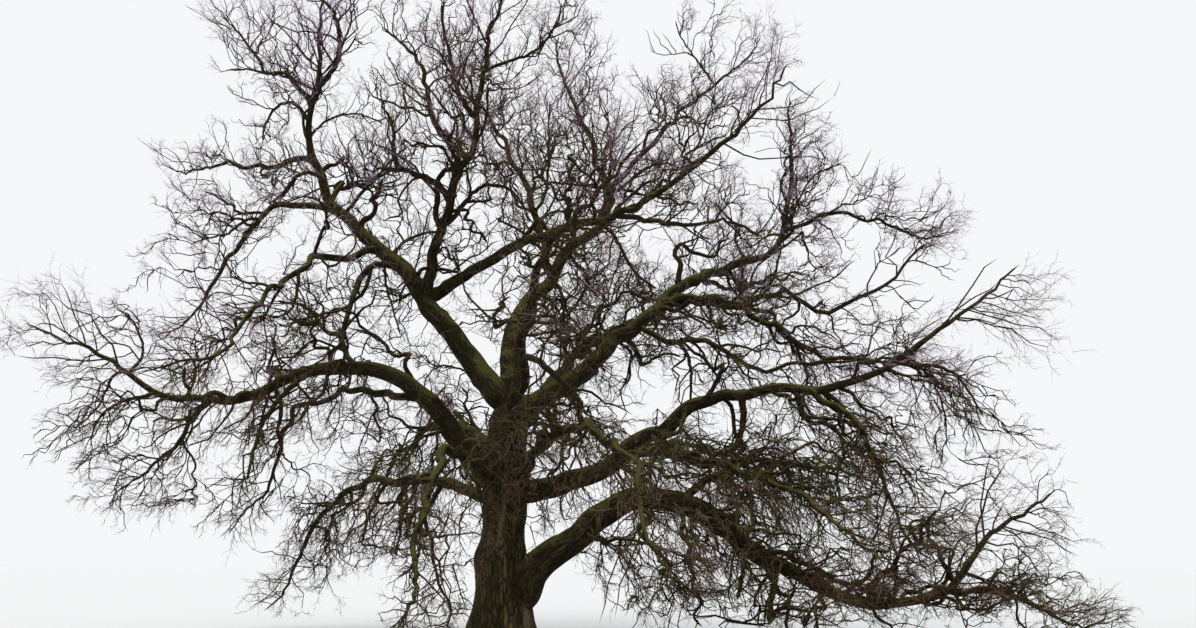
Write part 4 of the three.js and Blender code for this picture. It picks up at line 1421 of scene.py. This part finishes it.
# %% Tubes
def tubes(shoots, sides):
    """Corners, quads and triangles of pointed tubes round all the lines, numbered line by line."""
    lines = shoots.lines
    count, rings = lines.shape[:2]
    _, side, other = ring_frames(lines)
    share = np.linspace(0, 1, rings)
    radii = shoots.root_radii[:, None] + (shoots.tip_radii - shoots.root_radii)[:, None] * share
    angle = 2 * math.pi * np.arange(sides) / sides
    ring = side[:, :, None] * np.cos(angle)[:, None] + other[:, :, None] * np.sin(angle)[:, None]
    corners = lines[:, :, None] + ring * radii[:, :, None, None]
    whole = rings - 1
    corners = corners[:, :whole].reshape(count, whole * sides, 3)
    corners = np.concatenate([corners, lines[:, -1:]], axis=1)
    step, last = np.arange(sides), (whole - 1) * sides
    tip_faces = np.stack([last + step, last + (step + 1) % sides, np.full(sides, whole * sides)], axis=-1)
    offset = np.arange(count)[:, None, None] * corners.shape[1]
    quads = (ring_faces(whole, sides)[None] + offset).reshape(-1, 4)
    triangles = (tip_faces[None] + offset).reshape(-1, 3)
    return corners.reshape(-1, 3), quads, triangles


def joined(parts):
    """Several tubes as one. Each part is its corners, quads and triangles, and the paint of each line.
    Gives all the corners, quads and triangles, then the paint of each quad and of each triangle."""
    columns = [[], [], [], [], []]
    first = 0
    for (corners, quads, triangles), paint in parts:
        paints = [np.repeat(paint, len(faces) // len(paint)) for faces in (quads, triangles)]
        for column, rows in zip(columns, [corners, quads + first, triangles + first, *paints]):
            column.append(rows)
        first += len(corners)
    return [np.concatenate(column) for column in columns]


print("corners, quads and triangles of one spur:", [len(part) for part in tubes(spurs.only([0]), 3)])

# %% [markdown]
# ## Colours of the twigs
# High up and far out, oak twigs are a purplish grey. Further in and low down they are browner, and olive
# where lichen covers them. A pattern can't be seen on something so thin, so each twig has one plain
# colour, which most of its spray shares, and the next spray may have another.

# %% Twig materials
TWIG_COLOURS = {
    "twig_purple_grey": (0.330, 0.215, 0.330),
    "twig_dusky": (0.180, 0.108, 0.155),
    "twig_grey_brown": (0.190, 0.114, 0.088),
    "twig_brown": (0.086, 0.048, 0.030),
    "twig_olive": (0.084, 0.072, 0.026),
    "twig_red_brown": (0.115, 0.058, 0.040),
}


def twig_material(name, colour):
    """Plain colour, with fine pores in its gloss and surface."""
    made = bpy.data.materials.new(name)
    made.use_nodes = True
    tree = made.node_tree
    shader = tree.nodes["Principled BSDF"]
    shader.inputs["Base Color"].default_value = (*colour, 1)
    shader.inputs["Specular IOR Level"].default_value = 0.15
    spot = add_node(tree, "ShaderNodeTexCoord").outputs["Object"]
    pores = noise(tree, spot, scale=240.0, detail=2.0)
    gloss = ranged(tree, pores, low=0.0, high=1.0, to_low=0.6, to_high=0.95)
    tree.links.new(gloss, shader.inputs["Roughness"])
    bump = add_node(tree, "ShaderNodeBump", {"Height": pores, "Distance": 0.0008})
    tree.links.new(bump.outputs[0], shader.inputs["Normal"])
    return made


twig_paints = [twig_material(name, colour) for name, colour in TWIG_COLOURS.items()]
lichen_paint = twig_material("olive_lichen", (0.135, 0.122, 0.045))
print(len(twig_paints), "twig colours, and", lichen_paint.name)

# %% [markdown]
# Which colour a spray has is left to chance, but the odds change from the browns of the inside and the
# bottom of the crown to the greys of its outside. All twigs that start in one small cube get nearly the
# same chance, which makes them one spray.

# %% Dealing the colours out
OUTER_ODDS = [0.42, 0.2, 0.2, 0.08, 0.04, 0.06]
INNER_ODDS = [0.0, 0.0, 0.1, 0.42, 0.26, 0.22]
SPRAY_SIZE = 0.9
CROWN_CENTRE = np.array([1.0, 0.5, 6.0])
CROWN_SIZE = np.array([10.5, 12.0, 9.0])
INNER_END, OUTER_START = 0.35, 0.7
LOW_TWIGS, HIGH_TWIGS = 3.5, 6.5
CHANCE_STEPS = 9973
COLOUR_BLUR = 0.05


def risen(values, low, high):
    """0 at low and below, 1 at high and above, and even between them."""
    return np.clip((values - low) / (high - low), 0, 1)


def dealt_colours(shoots, rng):
    """A colour for each line, mostly the same for all that start in one small cube of the crown."""
    roots = shoots.lines[:, 0]
    chance = (cube_numbers(roots, SPRAY_SIZE) % CHANCE_STEPS) / CHANCE_STEPS
    chance = (chance + rng.normal(0, COLOUR_BLUR, len(chance))) % 1
    out = np.linalg.norm((roots - CROWN_CENTRE) / CROWN_SIZE, axis=1)
    outer = (risen(out, INNER_END, OUTER_START) * risen(roots[:, 2], LOW_TWIGS, HIGH_TWIGS))[:, None]
    odds = np.cumsum(np.array(INNER_ODDS) * (1 - outer) + np.array(OUTER_ODDS) * outer, axis=1)
    return np.minimum((chance[:, None] > odds).sum(axis=1), len(TWIG_COLOURS) - 1)


print("colours of the first sprays:", dealt_colours(twigs, np.random.default_rng(4))[:8])

# %% [markdown]
# ## Pieces of the crown
# One mesh for the whole crown would be slow to handle and to export. It is split into parts of the crown,
# each under 200,000 triangles, that stand for the solid model's masses of the same boughs.

# %% Pieces
CROWN_PARTS = {
    "high_left": ["leader", "west_high", "crown_left", "west_upper", "west_mid", "leader_drop"],
    "low_left": ["left_limb", "left_drop", "left_inner", "low_left", "front_drop"],
    "middle": ["middle_bough", "cross_bough", "centre_bough", "centre_left", "centre_right"],
    "high_right": ["right_bough", "right_shoulder", "right_arm", "east_limb"],
    "low_right": ["east_drop", "east_under", "low_limb", "low_limb_tip", "low_limb_up"],
    "back_and_front": ["north_bough", "north_low", "south_bough", "south_low"],
}


def triangle_count(made):
    return sum(len(face.vertices) - 2 for face in made.data.polygons)


paint_rng = np.random.default_rng(400)
for part, members in CROWN_PARTS.items():
    rows = [names.index(member) for member in members]
    sets = [size.only(np.isin(size.boughs, rows)) for size in (twigs, twiglets, spurs)]
    parts = [(tubes(size, 3), dealt_colours(size, paint_rng)) for size in sets]
    *shape, quad_paint, triangle_paint = joined(parts)
    made = mesh_object("fine_twigs_" + part, *shape, twig_paints, quad_paint, triangle_paint)
    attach(made, "root")
    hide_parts(*["twigs_" + member for member in members])
    print(made.name, triangle_count(made), "triangles")

# %% [markdown]
# The side branches, and the stems at the boughs' tips, are thick enough to need more sides. The shoots are
# three-sided like the twigs, but they have bark, as they are old enough to be rough.

# %% Branches with bark
ARM_SIDES, STEM_SIDES, FORK_SIDES = 6, 7, 4

branch_tubes = [
    (tubes(bearers, sides), np.zeros(len(bearers.lines)))
    for bearers, sides in ((arms, ARM_SIDES), (stem_set, STEM_SIDES), (forks, FORK_SIDES))]
side_branches = mesh_object("side_branches", *joined(branch_tubes)[:3], [branch_bark])
small_branches = mesh_object("small_branches", *tubes(shoots, 3), [branch_bark])
for made in (side_branches, small_branches):
    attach(made, "root")
    print(made.name, triangle_count(made), "triangles")

# %% [markdown]
# ## Lichen
# Beard lichen hangs in small tufts from the side branches of an old oak, most of all low down and near the
# trunk, where the air stays damp. Each tuft is a handful of thin strands that start close together.

# %% Lichen tufts
TUFTS = 620
STRANDS_IN_TUFT = 4
TUFT_SPREAD = 0.035 * np.array([1, 1, 0.3])
HIGHEST_TUFT = 10.5
DAMP_REACH = 8.5
TUFT_LENGTHS = (0.1, 0.38)
STRAND_SHARES = (0.5, 1.1)
STRAND_RADII = (0.004, 0.008)
STRAND_TIP_SHARE = 0.3
STRAND_SPLAY = 0.18
STRAND_STEPS = 3
STRAND_CROOK = 16


def hung_strands(bearers, rng):
    """Strands that hang in tufts from points picked along the bearers."""
    places = bearers.lines[:, 1:-1].reshape(-1, 3)
    damp = (places[:, 2] < HIGHEST_TUFT) & (np.linalg.norm(places[:, :2], axis=1) < DAMP_REACH)
    tuft_roots = places[damp][rng.choice(int(damp.sum()), TUFTS, replace=False)]
    roots = np.repeat(tuft_roots, STRANDS_IN_TUFT, axis=0)
    roots = roots + rng.normal(size=roots.shape) * TUFT_SPREAD
    lengths = np.repeat(rng.uniform(*TUFT_LENGTHS, TUFTS), STRANDS_IN_TUFT)
    lengths = lengths * rng.uniform(*STRAND_SHARES, len(roots))
    down = unit(rng.normal(0, STRAND_SPLAY, roots.shape) - np.array([0.0, 0.0, 1.0]))
    walks = walk(roots, down, lengths, STRAND_STEPS, STRAND_CROOK, rng, strength=0.0)
    radii = rng.uniform(*STRAND_RADII, len(roots))
    return Shoots(walks, lengths, radii, radii * STRAND_TIP_SHARE, np.zeros(len(roots), dtype=int))


every_other_fork = forks.only(slice(None, None, 2))
strands = hung_strands(every_other_fork, np.random.default_rng(600))
lichen = mesh_object("lichen", *tubes(strands, 3), [lichen_paint])
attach(lichen, "root")
print(len(strands.lines), "strands of lichen,", triangle_count(lichen), "triangles")

# %% [markdown]
# ## The stage
# A pale floor that runs to the horizon, an even bright sky, and one very soft sun from above give the
# light of an overcast day in a studio.

# %% Floor, sky and light
FLOOR_HALF = 260.0
FLOOR_COLOUR = (0.68, 0.69, 0.68, 1)
SKY_COLOUR = (0.92, 0.93, 0.95, 1)
SUN_STRENGTH = 1.6
SUN_WIDTH = math.radians(70)
SUN_HEADING = Vector((0.35, 0.75, -1.0))

floor_corners = np.array([[-1, -1, 0], [1, -1, 0], [1, 1, 0], [-1, 1, 0]]) * FLOOR_HALF
floor_paint = bpy.data.materials.new("pale_floor")
floor_paint.use_nodes = True
floor_shader = floor_paint.node_tree.nodes["Principled BSDF"]
floor_shader.inputs["Base Color"].default_value = FLOOR_COLOUR
floor_shader.inputs["Roughness"].default_value = 0.95
one_face, no_triangles = np.array([[0, 1, 2, 3]]), np.zeros((0, 3), dtype=int)
floor = mesh_object("floor", floor_corners, one_face, no_triangles, [floor_paint])

world = bpy.data.worlds.new("bright_sky")
world.use_nodes = True
world.node_tree.nodes["Background"].inputs["Color"].default_value = SKY_COLOUR
world.node_tree.nodes["Background"].inputs["Strength"].default_value = 1.0
bpy.context.scene.world = world

soft_sun = bpy.data.lights.new("soft_sun", "SUN")
soft_sun.energy = SUN_STRENGTH
soft_sun.angle = SUN_WIDTH
sun = bpy.data.objects.new("soft_sun", soft_sun)
sun.rotation_euler = SUN_HEADING.to_track_quat("-Z", "Y").to_euler()
bpy.context.scene.collection.objects.link(sun)
bpy.context.scene.view_settings.view_transform = "Standard"
print("stage set, with the sun", round(math.degrees(SUN_WIDTH)), "degrees wide")
